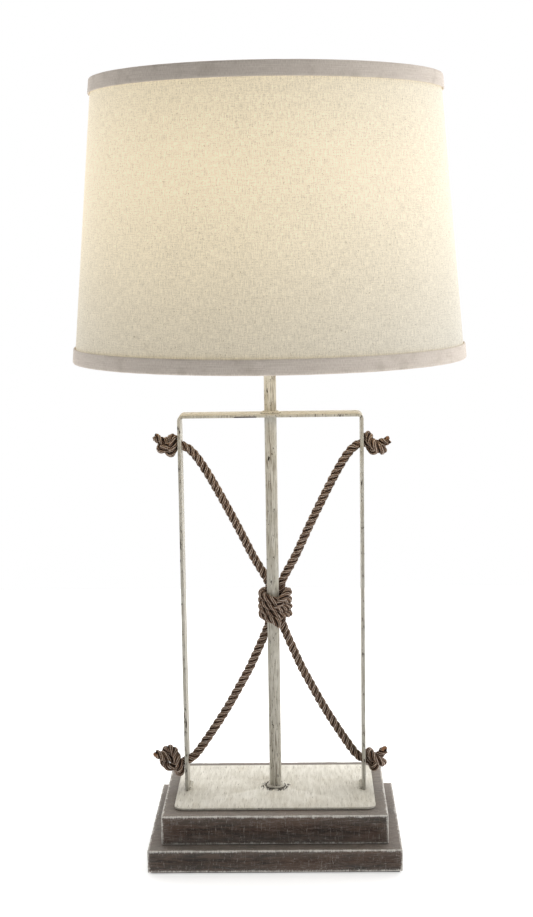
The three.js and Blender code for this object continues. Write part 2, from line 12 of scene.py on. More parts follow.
import bpy
import numpy as np
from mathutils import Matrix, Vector


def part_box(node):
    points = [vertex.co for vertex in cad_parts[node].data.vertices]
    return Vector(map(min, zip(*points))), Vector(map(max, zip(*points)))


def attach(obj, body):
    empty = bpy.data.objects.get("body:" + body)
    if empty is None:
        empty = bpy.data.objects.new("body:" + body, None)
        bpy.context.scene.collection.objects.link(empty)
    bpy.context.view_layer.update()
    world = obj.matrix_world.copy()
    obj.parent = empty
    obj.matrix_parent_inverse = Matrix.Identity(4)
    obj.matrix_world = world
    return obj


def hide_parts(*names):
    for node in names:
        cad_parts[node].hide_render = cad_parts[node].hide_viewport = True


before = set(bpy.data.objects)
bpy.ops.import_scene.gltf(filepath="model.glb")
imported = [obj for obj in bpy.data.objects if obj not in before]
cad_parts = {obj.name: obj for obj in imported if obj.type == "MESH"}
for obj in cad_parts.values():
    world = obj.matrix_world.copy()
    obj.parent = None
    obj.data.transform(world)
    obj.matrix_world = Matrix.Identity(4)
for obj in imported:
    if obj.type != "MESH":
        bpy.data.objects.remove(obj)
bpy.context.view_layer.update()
MM = 0.001

# %% [markdown]
# ## Tools for modelling
# Most of the lamp is turned, sawn or drawn wire, so a few tools make nearly all of it. A turned
# piece is a profile spun round the lamp's axis, as on a lathe: it could be built ring by ring, but
# a spin keeps every ring round and the profile easy to read. A block is a sawn board, and a rod is
# a cylinder laid between two points. Everything is drawn in millimetres and stored in metres.
#
# An operator acts on all that is selected, so each tool first makes its own object the only one.

# %% Modelling tools
def deselected():
    """Leaves edit mode and selects nothing."""
    if bpy.context.object and bpy.context.object.mode != "OBJECT":
        bpy.ops.object.mode_set(mode="OBJECT")
    bpy.ops.object.select_all(action="DESELECT")


def only(obj):
    """Makes obj the one selected and active object."""
    deselected()
    obj.select_set(True)
    bpy.context.view_layer.objects.active = obj
    return obj


def fresh(name, add, **settings):
    """Adds a primitive with nothing else selected, names it and returns it."""
    deselected()
    add(**settings)
    obj = bpy.context.object
    obj.name = name
    obj.data.name = name
    return obj


def settled(obj):
    """Puts the object's placing into its mesh, which leaves its origin at the lamp's origin."""
    only(obj)
    bpy.ops.object.transform_apply(location=True, rotation=True, scale=True)
    return obj


def edit(obj, mode="VERT", test=None):
    """Opens obj for editing, with everything selected or only the elements that pass the test."""
    only(obj)
    if test:
        bpy.ops.object.mode_set(mode="EDIT")
        bpy.ops.mesh.select_mode(type=mode)
        bpy.ops.mesh.select_all(action="DESELECT")
        bpy.ops.object.mode_set(mode="OBJECT")
        parts = {"VERT": obj.data.vertices, "EDGE": obj.data.edges, "FACE": obj.data.polygons}
        for part in parts[mode]:
            part.select = bool(test(part))
        bpy.ops.object.mode_set(mode="EDIT")
    else:
        bpy.ops.object.mode_set(mode="EDIT")
        bpy.ops.mesh.select_mode(type=mode)
        bpy.ops.mesh.select_all(action="SELECT")


def closed_edit(obj):
    """Leaves edit mode, with double points merged and the faces turned outwards."""
    bpy.ops.mesh.select_all(action="SELECT")
    bpy.ops.mesh.remove_doubles(threshold=1e-6)
    bpy.ops.mesh.normals_make_consistent(inside=False)
    bpy.ops.object.mode_set(mode="OBJECT")
    return obj


def applied(obj, kind, **settings):
    """Adds a modifier to obj and applies it."""
    only(obj)
    modifier = obj.modifiers.new(kind.lower(), kind)
    for name, value in settings.items():
        setattr(modifier, name, value)
    bpy.ops.object.modifier_apply(modifier=modifier.name)
    return obj


def drawn(name, points):
    """A line of edges through the points, in millimetres, extruded from a single vertex."""
    obj = fresh(name, bpy.ops.mesh.primitive_plane_add, size=0.01)
    edit(obj)
    bpy.ops.mesh.merge(type="CENTER")
    bpy.ops.transform.translate(value=Vector(points[0]) * MM)
    for start, end in zip(points, points[1:]):
        step = (Vector(end) - Vector(start)) * MM
        bpy.ops.mesh.extrude_region_move(TRANSFORM_OT_translate={"value": step})
    return obj


def turned(name, profile, steps=64):
    """Spins a profile of (radius, height) points, in millimetres, once round the vertical axis."""
    obj = drawn(name, [(radius, 0, height) for radius, height in profile])
    bpy.ops.mesh.select_all(action="SELECT")
    bpy.ops.mesh.spin(steps=steps, angle=2 * math.pi, center=(0, 0, 0), axis=(0, 0, 1))
    closed_edit(obj)
    smooth(obj)
    return obj


def block(name, low, high):
    """A box between two corners, in millimetres."""
    low, high = Vector(low) * MM, Vector(high) * MM
    obj = fresh(
        name,
        bpy.ops.mesh.primitive_cube_add,
        size=1,
        location=(low + high) / 2,
        scale=high - low,
    )
    return settled(obj)


def rod(name, start, end, radius, sides=32):
    """A round bar from one point to another, in millimetres."""
    start, end = Vector(start) * MM, Vector(end) * MM
    obj = fresh(
        name,
        bpy.ops.mesh.primitive_cylinder_add,
        radius=radius * MM,
        depth=(end - start).length,
        vertices=sides,
        location=(start + end) / 2,
        rotation=(end - start).to_track_quat("Z", "Y").to_euler(),
    )
    return settled(obj)


def bored(obj, *cutters):
    """Cuts the cutters out of obj and throws them away."""
    for cutter in cutters:
        applied(obj, "BOOLEAN", operation="DIFFERENCE", solver="EXACT", object=cutter)
        bpy.data.objects.remove(cutter)
    return obj


def smooth(obj, degrees=35):
    """Shades obj smooth except where it turns a sharp corner."""
    only(obj)
    bpy.ops.object.shade_smooth_by_angle(angle=math.radians(degrees))
    return obj


def softened(obj, width, segments=2, degrees=30):
    """Rounds the sharp edges of obj by a width in millimetres."""
    applied(
        obj,
        "BEVEL",
        width=width * MM,
        segments=segments,
        limit_method="ANGLE",
        angle_limit=math.radians(degrees),
    )
    return smooth(obj)


def joined(name, *objs):
    """Joins several objects into one."""
    only(objs[0])
    for obj in objs:
        obj.select_set(True)
    bpy.ops.object.join()
    objs[0].name = name
    objs[0].data.name = name
    return objs[0]


def waved(obj, strength, size):
    """Pushes the surface in and out by a cloud pattern, strength and size in millimetres."""
    texture = bpy.data.textures.new(f"{obj.name}_clouds", "CLOUDS")
    texture.noise_scale = size * MM
    texture.noise_depth = 2
    return applied(
        obj,
        "DISPLACE",
        texture=texture,
        texture_coords="LOCAL",
        strength=strength * MM,
        mid_level=0.5,
    )


def placed(obj, body, slot, finish, *nodes):
    """Gives a finished piece its finish and its body, and hides the CAD nodes that it stands for."""
    obj.data.materials.clear()
    obj.data.materials.append(finish)
    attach(obj, body)
    if nodes:
        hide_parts(*nodes)
    print(f"{obj.name}: {len(obj.data.polygons)} faces")
    return obj


def refinished(node, finish):
    """Gives a CAD node that already has the right shape a better finish."""
    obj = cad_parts[node]
    obj.data.materials.clear()
    obj.data.materials.append(finish)


def limits(node):
    """The lowest and highest corner of a CAD node, in millimetres."""
    low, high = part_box(node)
    return low / MM, high / MM


# %% [markdown]
# ## Tools for finishes
# A finish is one Principled shader and the small network that varies its colour, roughness and
# relief. The network could be laid out node by node, but it reads more easily as arithmetic, so
# `Output` wraps a node's output and adds a Math node for each sum or product. Every pattern is
# placed by the object's own coordinates, so it stays put when the piece moves.

# %% Shader tools
def paint(red, green, blue):
    """A colour given as 0 to 255 display values."""
    def linear(value):
        value /= 255
        return value / 12.92 if value <= 0.04045 else ((value + 0.055) / 1.055) ** 2.4

    return (linear(red), linear(green), linear(blue), 1.0)


class Output:
    """The output of a shader node, usable in arithmetic."""

    def __init__(self, tree, socket):
        self.tree, self.socket = tree, socket

    def maths(self, operation, first, second=None):
        """A Math node on one value or two."""
        inputs = {0: first} if second is None else {0: first, 1: second}
        return node(self.tree, "ShaderNodeMath", {"operation": operation}, inputs)

    def __add__(self, other): return self.maths("ADD", self, other)
    def __radd__(self, other): return self.maths("ADD", other, self)
    def __sub__(self, other): return self.maths("SUBTRACT", self, other)
    def __rsub__(self, other): return self.maths("SUBTRACT", other, self)
    def __mul__(self, other): return self.maths("MULTIPLY", self, other)
    def __rmul__(self, other): return self.maths("MULTIPLY", other, self)
    def __truediv__(self, other): return self.maths("DIVIDE", self, other)
    def __rtruediv__(self, other): return self.maths("DIVIDE", other, self)
    def __pow__(self, other): return self.maths("POWER", self, other)
    def sine(self): return self.maths("SINE", self)
    def size(self): return self.maths("ABSOLUTE", self)
    def least(self, other): return self.maths("MINIMUM", self, other)
    def most(self, other): return self.maths("MAXIMUM", self, other)
    def round_angle(self, other): return self.maths("ARCTAN2", self, other)

    def rise(self, low, high, start=0.0, end=1.0):
        """Eases from start to end while this value goes from low to high."""
        inputs = {0: self, 1: low, 2: high, 3: start, 4: end}
        return node(self.tree, "ShaderNodeMapRange", {"interpolation_type": "SMOOTHSTEP"}, inputs)


def node(tree, kind, settings=None, inputs=None, output=0):
    """Adds a node, sets it up, links or fills its inputs and returns one output."""
    made = tree.nodes.new(kind)
    for name, value in (settings or {}).items():
        setattr(made, name, value)
    for key, value in (inputs or {}).items():
        if isinstance(value, Output):
            tree.links.new(value.socket, made.inputs[key])
        else:
            made.inputs[key].default_value = value
    return Output(tree, made.outputs[output])


class Finish:
    """A material under construction."""

    def __init__(self, name, **constants):
        self.material = bpy.data.materials.new(name)
        self.material.use_nodes = True
        self.tree = self.material.node_tree
        self.shader = self.tree.nodes["Principled BSDF"]
        self.set(**constants)
        print("finish:", name)

    def set(self, **values):
        """Sets or links inputs of the shader. Underscores stand for spaces in their names."""
        for name, value in values.items():
            socket = self.shader.inputs[name.replace("_", " ")]
            if isinstance(value, Output):
                self.tree.links.new(value.socket, socket)
            else:
                socket.default_value = value

    def node(self, kind, settings=None, inputs=None, output=0):
        return node(self.tree, kind, settings, inputs, output)

    def place(self, output="Object"):
        """Where on the piece the shader is: its own coordinates, or its UV map."""
        made = self.tree.nodes.new("ShaderNodeTexCoord")
        return Output(self.tree, made.outputs[output])

    def parts(self, vector):
        """The x, y and z of a vector."""
        made = self.tree.nodes.new("ShaderNodeSeparateXYZ")
        self.tree.links.new(vector.socket, made.inputs[0])
        return [Output(self.tree, socket) for socket in made.outputs]

    def vector(self, x, y, z):
        """A vector from three values."""
        return self.node("ShaderNodeCombineXYZ", None, {0: x, 1: y, 2: z})

    def scaled(self, vector, by):
        """A vector stretched along each axis."""
        return self.node("ShaderNodeVectorMath", {"operation": "MULTIPLY"}, {0: vector, 1: by})

    def noise(self, vector, scale, detail=3.0, roughness=0.55, distortion=0.0):
        """Cloudy noise around 0.5, with features of 1/scale metres."""
        inputs = {
            "Vector": vector,
            "Scale": scale,
            "Detail": detail,
            "Roughness": roughness,
            "Distortion": distortion,
        }
        return self.node("ShaderNodeTexNoise", {"noise_dimensions": "3D"}, inputs)

    def mix(self, share, first, second):
        """Blends two colours."""
        made = self.tree.nodes.new("ShaderNodeMix")
        made.data_type = "RGBA"
        for socket, value in ((0, share), (6, first), (7, second)):
            if isinstance(value, Output):
                self.tree.links.new(value.socket, made.inputs[socket])
            else:
                made.inputs[socket].default_value = value
        return Output(self.tree, made.outputs[2])

    def relief(self, height, distance, strength):
        """A bumped normal from a height of 0 to 1 over a distance in millimetres."""
        inputs = {"Height": height, "Distance": distance * MM, "Strength": strength}
        return self.node("ShaderNodeBump", None, inputs)


# %% [markdown]
# ## Camera, floor and light
# The camera stands in front of the lamp, a little above its middle, and looks slightly down. The
# floor is pale and plain. It glows a little, so that it stays white where the lamp shades it.
#
# The light is that of a bright studio: a broad soft light from the right and behind, another from
# behind on the left, and a weak even light from all sides. They could be area lights, but a sky
# that is brighter in two directions is softer, and nothing has to be hidden from the camera. The
# camera itself sees plain white.

# %% Camera
camera_data = bpy.data.cameras.new("camera")
camera = bpy.data.objects.new("camera", camera_data)
bpy.context.scene.collection.objects.link(camera)
camera_spot = Vector((32.665, -1634.05, 650.73))
tilt_down, turn_left, roll = 8.211, 1.311, -0.85  # degrees
lens, film_width = 61.904, 36
camera.location = camera_spot * MM
camera.rotation_euler = (math.radians(90 - tilt_down), 0, math.radians(turn_left))
camera.rotation_euler.rotate_axis("Z", math.radians(roll))
camera_data.lens = lens
camera_data.sensor_fit = "AUTO"
camera_data.sensor_width = film_width
bpy.context.scene.camera = camera
bpy.context.scene.view_settings.view_transform = "Standard"
print("camera at", tuple(camera_spot), "mm with a", lens, "mm lens")

# %% Floor
floor_size, under_felt = 2400, 0.2  # the floor lies just under the felt, so that the two don't mix
floor = fresh(
    "floor",
    bpy.ops.mesh.primitive_plane_add,
    size=floor_size * MM,
    location=(0, 0, -under_felt * MM),
)
floor_finish = Finish(
    "pale_floor",
    Base_Color=(0.78, 0.78, 0.78, 1),
    Roughness=0.9,
    Specular_IOR_Level=0.1,
    Emission_Color=(1, 1, 1, 1),
    Emission_Strength=0.5,
)
floor.data.materials.append(floor_finish.material)

# %% World light
world = bpy.data.worlds.new("studio")
bpy.context.scene.world = world
world.use_nodes = True
sky = world.node_tree
background = sky.nodes["Background"]
split = sky.nodes.new("ShaderNodeSeparateXYZ")
sky.links.new(node(sky, "ShaderNodeTexCoord").socket, split.inputs[0])
right, away, up = [Output(sky, socket) for socket in split.outputs]
even_light, soft_light = 0.219, 1.45
key_side = (right * 0.785 + away * 0.619 + up * 0.027).rise(-0.5, 1.0)
rear_side = (away * 0.918 - right * 0.396 - up * 0.023).rise(-0.125, 1.0)
light = even_light + key_side * soft_light + rear_side * soft_light
seen = node(sky, "ShaderNodeLightPath")  # 1 for what the camera sees directly
light = light * (1 - seen) + seen
sky.links.new(light.socket, background.inputs["Strength"])
background.inputs["Color"].default_value = (1, 1, 1, 1)
print("sky: from", even_light, "to about", even_light + 2 * soft_light)

# %% [markdown]
# ## Lamplight
# The bulb is lit, and warm light falls on the top of the pole and on the arch below the shade. A
# glowing bulb alone would give that light with much noise, because few rays find it, so a point
# lamp as large as the bulb stands in the middle of it.

# %% Lamplight
bulb_low, bulb_high = limits("bulb_glass")
glow_data = bpy.data.lights.new("lamplight", "POINT")
glow_below_tip, glow_radius = 30, 28
glow_data.energy = 0.38
glow_data.color = (1.0, 0.80, 0.55)
glow_data.shadow_soft_size = glow_radius * MM
glow = bpy.data.objects.new("lamplight", glow_data)
bpy.context.scene.collection.objects.link(glow)
glow.location = Vector((0, 0, bulb_high.z - glow_below_tip)) * MM
print("lamplight at", tuple(round(v, 3) for v in glow.location))

# %% [markdown]
# ## Limed wood
# The boards are dark stained, then rubbed with pale liming wax that stays in the open grain and on
# the worn edges. The grain is noise stretched along the board, because wood fibres run that way.
# Saw marks cross it. The worn edges come from the distance to the nearest edge of the board, made
# ragged by the same grain, so that the wear looks rubbed and not drawn.

# %% Limed wood
def limed_wood(name, low, high):
    """Dark oak, limed and rubbed at the edges of a board between two corners, in millimetres."""
    low, high = Vector(low) * MM, Vector(high) * MM
    middle, half = (low + high) / 2, (high - low) / 2
    wood = Finish(name, Specular_IOR_Level=0.2)
    place = wood.place()
    x, y, z = wood.parts(place)
    grain = wood.noise(wood.scaled(place, (1.0, 6.0, 9.0)), 42, 6, 0.65, 0.6)
    fine = wood.noise(wood.scaled(place, (1.0, 15.0, 24.0)), 120, 4, 0.7, 0.2)
    scratches = wood.noise(wood.scaled(place, (1.0, 14.0, 34.0)), 75, 3, 0.6, 0.1)
    broad = wood.noise(wood.scaled(place, (0.6, 1.5, 2.0)), 14, 3)
    saw = wood.noise(wood.scaled(place, (14.0, 1.4, 1.8)), 50, 4, 0.65, 0.8)
    dots = wood.noise(wood.scaled(place, (1.0, 1.0, 2.0)), 700, 2, 0.6)
    colour = wood.mix(grain.rise(0.34, 0.66), paint(22, 15, 12), paint(80, 64, 54))
    colour = wood.mix(broad.rise(0.42, 0.70) * 0.6, colour, paint(84, 56, 40))
    lime = fine.rise(0.54, 0.72) * broad.rise(0.25, 0.60)
    colour = wood.mix(lime * 0.6, colour, paint(176, 170, 162))
    marks = saw.rise(0.55, 0.66) * dots.rise(0.42, 0.55)
    colour = wood.mix(marks * 0.6, colour, paint(164, 157, 149))
    lines = scratches.rise(0.63, 0.69) * saw.rise(0.35, 0.55)
    colour = wood.mix(lines * 0.7, colour, paint(190, 184, 176))
    pores = fine.rise(0.44, 0.30) * grain.rise(0.62, 0.36)
    colour = wood.mix(pores * 0.85, colour, paint(17, 12, 10))
    gap_x = half.x - (x - middle.x).size()
    gap_y = half.y - (y - middle.y).size()
    gap_z = half.z - (z - middle.z).size()
    to_edge = gap_x.most(gap_y).least(gap_x.most(gap_z)).least(gap_y.most(gap_z))
    ragged = to_edge + (fine - 0.5) * 0.005 + (saw - 0.5) * 0.006 + (dots - 0.5) * 0.002
    ragged = ragged + (grain - 0.5) * 0.004
    rubbed = ragged.rise(0.0022, 0.0002)
    haze = ragged.rise(0.016, 0.001) * (0.30 + lime * 0.70)
    # The top face is painted lighter in patches: a painted highlight of the light from above.
    top = gap_z.rise(0.0012, 0.0004) * z.rise(middle.z, middle.z + 0.001)
    colour = wood.mix(top * fine.rise(0.25, 0.55) * 0.6, colour, paint(146, 138, 129))
    colour = wood.mix(haze * 0.45, colour, paint(168, 162, 154))
    colour = wood.mix(rubbed * 0.85, colour, paint(222, 218, 211))
    height = grain * 0.4 + fine * 0.6 + rubbed * 0.3 + marks * 0.3 + lines * 0.3
    wood.set(
        Base_Color=colour,
        Roughness=0.7 + lime * 0.15,
        Normal=wood.relief(height, 0.6, 0.9),
    )
    return wood.material


# %% [markdown]
# ## Chipped paint
# The iron is painted cream with a brush, streaked with a darker glaze and chipped down to the
# black metal. One recipe serves the plate, the pole, the arch and the welds, with more or less of
# each flaw, because all were painted from the same tin. The arch's coat is toned darker than the
# rest, which is painted shade. Chips are where a noise passes a limit, so their rims are sharp,
# and the limit is lower along the worn edges and near the burnt welds.

# %% Chipped paint
def chipped_paint(name, tone, chips, streaks, warm=1.0, grain=(2.0, 2.0, 0.35), edge=None, soot=None):
    """Cream paint brushed over black iron.

    tone darkens it; chips, streaks and warm set how worn, streaked and stained it is. edge gives
    the distance to the nearest worn edge, and soot how burnt each place is.
    """
    coat = Finish(name, Specular_IOR_Level=0.25)
    place = coat.place()
    x, y, z = coat.parts(place)
    brushed = coat.noise(coat.scaled(place, grain), 110, 4, 0.6)
    strokes = coat.noise(coat.scaled(place, tuple(5 * g if g > 1 else g for g in grain)), 150, 3, 0.6)
    stains = coat.noise(place, 38, 5, 0.6)
    flecks = coat.noise(coat.scaled(place, tuple(g ** 0.6 for g in grain)), 300, 3, 0.6)
    grit = coat.noise(place, 1100, 2)

    def toned(red, green, blue):
        return tuple(c * tone for c in paint(red, green, blue)[:3]) + (1.0,)

    colour = coat.mix(brushed.rise(0.35, 0.68), toned(212, 207, 193), toned(231, 227, 215))
    colour = coat.mix(stains.rise(0.50, 0.75) * 0.40 * warm, colour, toned(196, 184, 158))
    worst = 0.61 - 0.05 * streaks
    scuffs = strokes.rise(worst, worst + 0.08) * stains.rise(0.32, 0.46) * 0.8
    colour = coat.mix(scuffs, colour, toned(122, 108, 88))
    limit = 0.735 - chips * 0.08
    chip = (flecks + (stains - 0.5) * 0.35).rise(limit, limit + 0.03)
    if edge is not None:
        worn = edge(x, y, z) + (flecks - 0.5) * 0.006 + (stains - 0.5) * 0.006
        chip = chip.most(worn.rise(-0.0003, -0.0014))
    if soot is not None:
        burnt = (soot(x, y, z) + (flecks - 0.5) * 2.4 + (grit - 0.5)).rise(0.75, 0.95)
        chip = chip.most(burnt)
    colour = coat.mix(chip, colour, paint(58, 48, 40))
    height = (1 - chip) * 0.6 + brushed * 0.3 + grit * 0.1
    coat.set(
        Base_Color=colour,
        Roughness=0.6 + chip * 0.2 + stains * 0.1,
        Normal=coat.relief(height, 0.25, 0.8),
    )
    return coat.material


# %% [markdown]
# ## Brown rope
# The rope is hemp, lightly tarred. The grooves between its strands and yarns are darkened with
# painted shade, and the strands' crests are pale where the hairs are rubbed, partly a painted
# highlight. A pattern on object coordinates would cut across the twist, so the rope has its own UV
# map, and the yarns' slant is counted from it.

# %% Rope
rope_lay, strand_yarns = 23.0, 6  # length of one full twist of the rope, and yarns in a strand
yarn_lay = 0.55 * rope_lay


def rope_finish(name):
    """Brown, lightly tarred hemp. U runs along a strand in metres and V runs round it.

    The cut ends, which are paler, have a negative U.
    """
    hemp = Finish(name, Roughness=0.85, Specular_IOR_Level=0.2)
    uv = hemp.place("UV")
    along, turn, _ = hemp.parts(uv)
    place = hemp.place()
    fibres = hemp.noise(hemp.vector(along * 160, turn * 30 + along * 900, 0.0), 1.0, 4, 0.6)
    blotches = hemp.noise(place, 90, 4, 0.6)
    hairs = hemp.noise(hemp.vector(along * 420, turn * 60 - along * 1500, 0.0), 1.0, 3, 0.7)
    outward = (turn * 2 * math.pi + math.pi / 2).sine()
    yarn = ((turn * strand_yarns - along / (yarn_lay * MM)) * 2 * math.pi + math.pi / 2).sine()
    colour = hemp.mix(fibres.rise(0.36, 0.62), paint(44, 29, 21), paint(156, 124, 100))
    colour = hemp.mix(blotches.rise(0.45, 0.70) * 0.55, colour, paint(92, 67, 52))
    # Pale crests where the strands face out: rubbed hairs, and partly a painted highlight.
    rubbed = outward.rise(0.30, 0.95) * hairs.rise(0.44, 0.58) * yarn.rise(-0.3, 0.6)
    colour = hemp.mix(rubbed * 0.9, colour, paint(238, 226, 213))
    # Painted shade in the grooves between the yarns.
    groove_shade = (yarn + (hairs - 0.5) * 1.6).rise(-0.1, -0.9)
    colour = hemp.mix(groove_shade * 0.6, colour, paint(28, 18, 13))
    # Painted shade in the gaps between the strands.
    gap = (outward + (fibres - 0.5) * 1.2).rise(0.62, 0.05)
    colour = hemp.mix(gap * 0.9, colour, paint(16, 10, 8))
    tufts = hemp.noise(place, 1500, 3)
    cut = hemp.mix(tufts.rise(0.35, 0.65), paint(84, 54, 36), paint(168, 126, 92))
    colour = hemp.mix(along.rise(-0.2, -0.8), colour, cut)
    hemp.set(
        Base_Color=colour,
        Normal=hemp.relief(fibres * 0.6 + hairs * 0.4, 0.5, 1.0),
    )
    return hemp.material


rope_brown = rope_finish("brown_rope")


# %% [markdown]
# ## Metal, plastic, card and felt
# The lamp's inner parts are bought ones: zinc plated screws, a brass holder, black plastic and
# brown fibre card. All take one plain recipe, a colour with faint clouds and fine rubbing marks,
# because they are small and half hidden. The felt is a fine dark fuzz.

# %% Metals, plastic and card
def plain_metal(name, colour, metallic, roughness, streaks=0.12, coat=0.0):
    """A smooth finish, faintly clouded and rubbed along its height."""
    metal = Finish(name, Metallic=metallic, Coat_Weight=coat)
    place = metal.place()
    cloud = metal.noise(place, 90, 4)
    rub = metal.noise(metal.scaled(place, (1.0, 1.0, 6.0)), 300, 3)
    dark = tuple(c * 0.72 for c in colour[:3]) + (1.0,)
    metal.set(
        Base_Color=metal.mix(cloud.rise(0.35, 0.7) * 0.6, colour, dark),
        Roughness=roughness + (rub - 0.5) * streaks,
        Normal=metal.relief(rub, 0.03, 0.5),
    )
    return metal.material


zinc = plain_metal("zinc_steel", paint(178, 178, 174), 1.0, 0.42)
brass = plain_metal("brass", paint(196, 158, 92), 1.0, 0.34)
nickel = plain_metal("bulb_cap_metal", paint(196, 194, 188), 1.0, 0.30)
white_wire = plain_metal("ring_wire", paint(214, 210, 200), 0.0, 0.45)
cream_gloss = plain_metal("cream_finial", paint(222, 214, 196), 0.0, 0.35, coat=0.3)
black_plastic = plain_metal("black_plastic", paint(28, 27, 26), 0.0, 0.38)
black_glass = plain_metal("black_glass", paint(22, 22, 26), 0.0, 0.18)
card = plain_metal("fibre_card", paint(150, 128, 100), 0.0, 0.85)

# %% Felt
felt_finish = Finish("felt", Roughness=0.95, Specular_IOR_Level=0.1)
wool = felt_finish.noise(felt_finish.place(), 900, 4, 0.7)
felt_finish.set(
    Base_Color=felt_finish.mix(wool.rise(0.3, 0.7), paint(26, 24, 23), paint(58, 55, 52)),
    Normal=felt_finish.relief(wool, 0.5, 1.0),
)

# %% [markdown]
# ## The glowing bulb and shade
# The bulb is frosted, so it glows all over. Real linen lets the bulb's light through, but light
# that passes two thin sheets takes very many samples to look clean. Here the linen glows by
# itself instead, most at the bulb's height and less above and below it, and its weave dims the
# glow as threads do. The lining glows too, because its inside is lit. The tape is two layers of
# cloth over wire, so no light comes through it.

# %% Frosted bulb
frost = Finish("frosted_glass", Roughness=0.4, Base_Color=paint(250, 244, 230))
bulb_place = frost.place()
_, _, bulb_z = frost.parts(bulb_place)
warmth = bulb_z.rise(bulb_low.z * MM, bulb_high.z * MM)
mottle = frost.noise(bulb_place, 60, 2)
frost.set(
    Emission_Color=frost.mix(
        warmth * 0.7 + mottle * 0.3, paint(255, 214, 150), paint(255, 240, 205)
    ),
    Emission_Strength=1.3,
)

# %% Linen
shade_low, shade_high = limits("shade_fabric")
linen = Finish("shade_linen", Roughness=0.9, Specular_IOR_Level=0.15)
place = linen.place()
x, y, z = linen.parts(place)
ring_angle = x.round_angle(y)
warp = linen.noise(linen.vector(ring_angle * 270, z * 120, 3.0), 1.0, 2, 0.6)
weft = linen.noise(linen.vector(ring_angle * 50, z * 1200, 7.0), 1.0, 2, 0.6)
nubs = linen.noise(place, 1300, 1, 0.5)
specks = linen.noise(place, 620, 2, 0.4)
slubs = linen.noise(linen.vector(ring_angle * 14, z * 900, 11.0), 1.0, 2, 0.5)
clouds = linen.noise(place, 16, 3)
weave = warp * 0.42 + weft * 0.26 + nubs * 0.32
tone = 0.90 + (weave - 0.5) * 1.7 + (slubs - 0.5) * 0.30 + (clouds - 0.5) * 0.10
dark = specks.rise(0.68, 0.76)
dark_thread, pale_thread = (0.32, 0.325, 0.325, 1), (0.465, 0.49, 0.505, 1)
cloth = linen.mix(tone.rise(0.55, 1.15), dark_thread, pale_thread)
cloth = linen.mix(dark * 0.6, cloth, paint(110, 92, 74))
glow_reach = 190  # how far above or below the bulb the glow has halved
from_bulb = (z - glow.location.z) / (glow_reach * MM)
lit = 1 / (1 + from_bulb * from_bulb)
glowing = lit * tone * (1 - dark * 0.35)
black, linen_glow, lining_glow = (0, 0, 0, 1), (0.675, 0.54, 0.31, 1), (0.36, 0.30, 0.20, 1)
linen.set(
    Base_Color=cloth,
    Emission_Color=linen.mix(glowing, black, linen_glow),
    Emission_Strength=1.0,
    Normal=linen.relief(weave, 0.3, 0.6),
)

# %% Lining
lining = Finish("shade_liner", Roughness=0.6, Specular_IOR_Level=0.3)
place = lining.place()
_, _, z = lining.parts(place)
up_the_shade = (z - shade_low.z * MM) / ((shade_high.z - shade_low.z) * MM)
creases = lining.noise(place, 40, 3)
lining.set(
    Base_Color=lining.mix(creases.rise(0.3, 0.7), paint(238, 232, 218), paint(246, 242, 232)),
    Emission_Color=lining.mix(
        up_the_shade.rise(-0.3, 0.65, 0.45, 1.0) * (0.9 + creases * 0.15),
        black,
        lining_glow,
    ),
    Emission_Strength=1.0,
)

# %% Tape
tape = Finish("shade_tape", Roughness=0.9, Specular_IOR_Level=0.15)
place = tape.place()
x, y, z = tape.parts(place)
ring_angle = x.round_angle(y)
threads = tape.noise(tape.vector(ring_angle * 260, z * 300, 0.0), 1.0, 3, 0.5)
cross = tape.noise(tape.vector(ring_angle * 6, z * 2100, 0.0), 1.0, 2, 0.5)
blots = tape.noise(place, 50, 4)
woven = threads * 0.5 + cross * 0.5
tape_colour = tape.mix(woven.rise(0.3, 0.7), paint(204, 192, 180), paint(232, 222, 211))
tape_colour = tape.mix(blots.rise(0.5, 0.75) * 0.4, tape_colour, paint(176, 164, 150))
tape.set(Base_Color=tape_colour, Normal=tape.relief(woven, 0.35, 0.8))
tape = tape.material

# %% [markdown]
# ## The base
# Two sawn boards of solid wood, stacked in a step, carry a steel plate. The pole's foot pipe passes
# through all three. A sawn board is a block, but a perfect block looks like plastic: its faces are
# divided finely, its edges rounded, and the whole is pushed in and out by a cloud pattern, a
# little for the saw and less for the sandpaper. The bore and the recess for the nut are cut last,
# so that they stay crisp.

# %% Boards
def board(name, node_name):
    """A sawn board whose long edges are worn and a little uneven."""
    low, high = limits(node_name)
    wood = block(name, low, high)
    edit(wood)
    bpy.ops.mesh.subdivide(number_cuts=36)
    bpy.ops.object.mode_set(mode="OBJECT")
    softened(wood, 1.1, 3, 60)
    waved(wood, 0.5, 9)
    waved(wood, 0.3, 3)
    return wood, low, high


pipe_bore = 5.2
recess_radius, recess_top = 20, 12
channel_radius, channel_height = 6, 9.5
lower, lower_low, lower_high = board("lower_board", "lower_plinth")
bored(
    lower,
    rod("recess", (0, 0, -5), (0, 0, recess_top), recess_radius, 48),
    rod("bore", (0, 0, -5), (0, 0, 40), pipe_bore),
    rod("cord_channel", (0, 0, channel_height), (0, 120, channel_height), channel_radius),
)
smooth(lower, 50)
placed(
    lower,
    "stand",
    "limed_wood",
    limed_wood("limed_wood_lower", lower_low, lower_high),
    "lower_plinth",
)

upper, upper_low, upper_high = board("upper_board", "upper_plinth")
bored(upper, rod("bore", (0, 0, 10), (0, 0, 70), pipe_bore))
smooth(upper, 50)
placed(
    upper,
    "stand",
    "limed_wood",
    limed_wood("limed_wood_upper", upper_low, upper_high),
    "upper_plinth",
)

# %% [markdown]
# The plate is cut from sheet steel with round corners. Bevelling the four upright edges of a block
# rounds them, where bevelling all its edges would round the thin rim too. The paint is burnt in a
# ring round the pole, where it was welded.

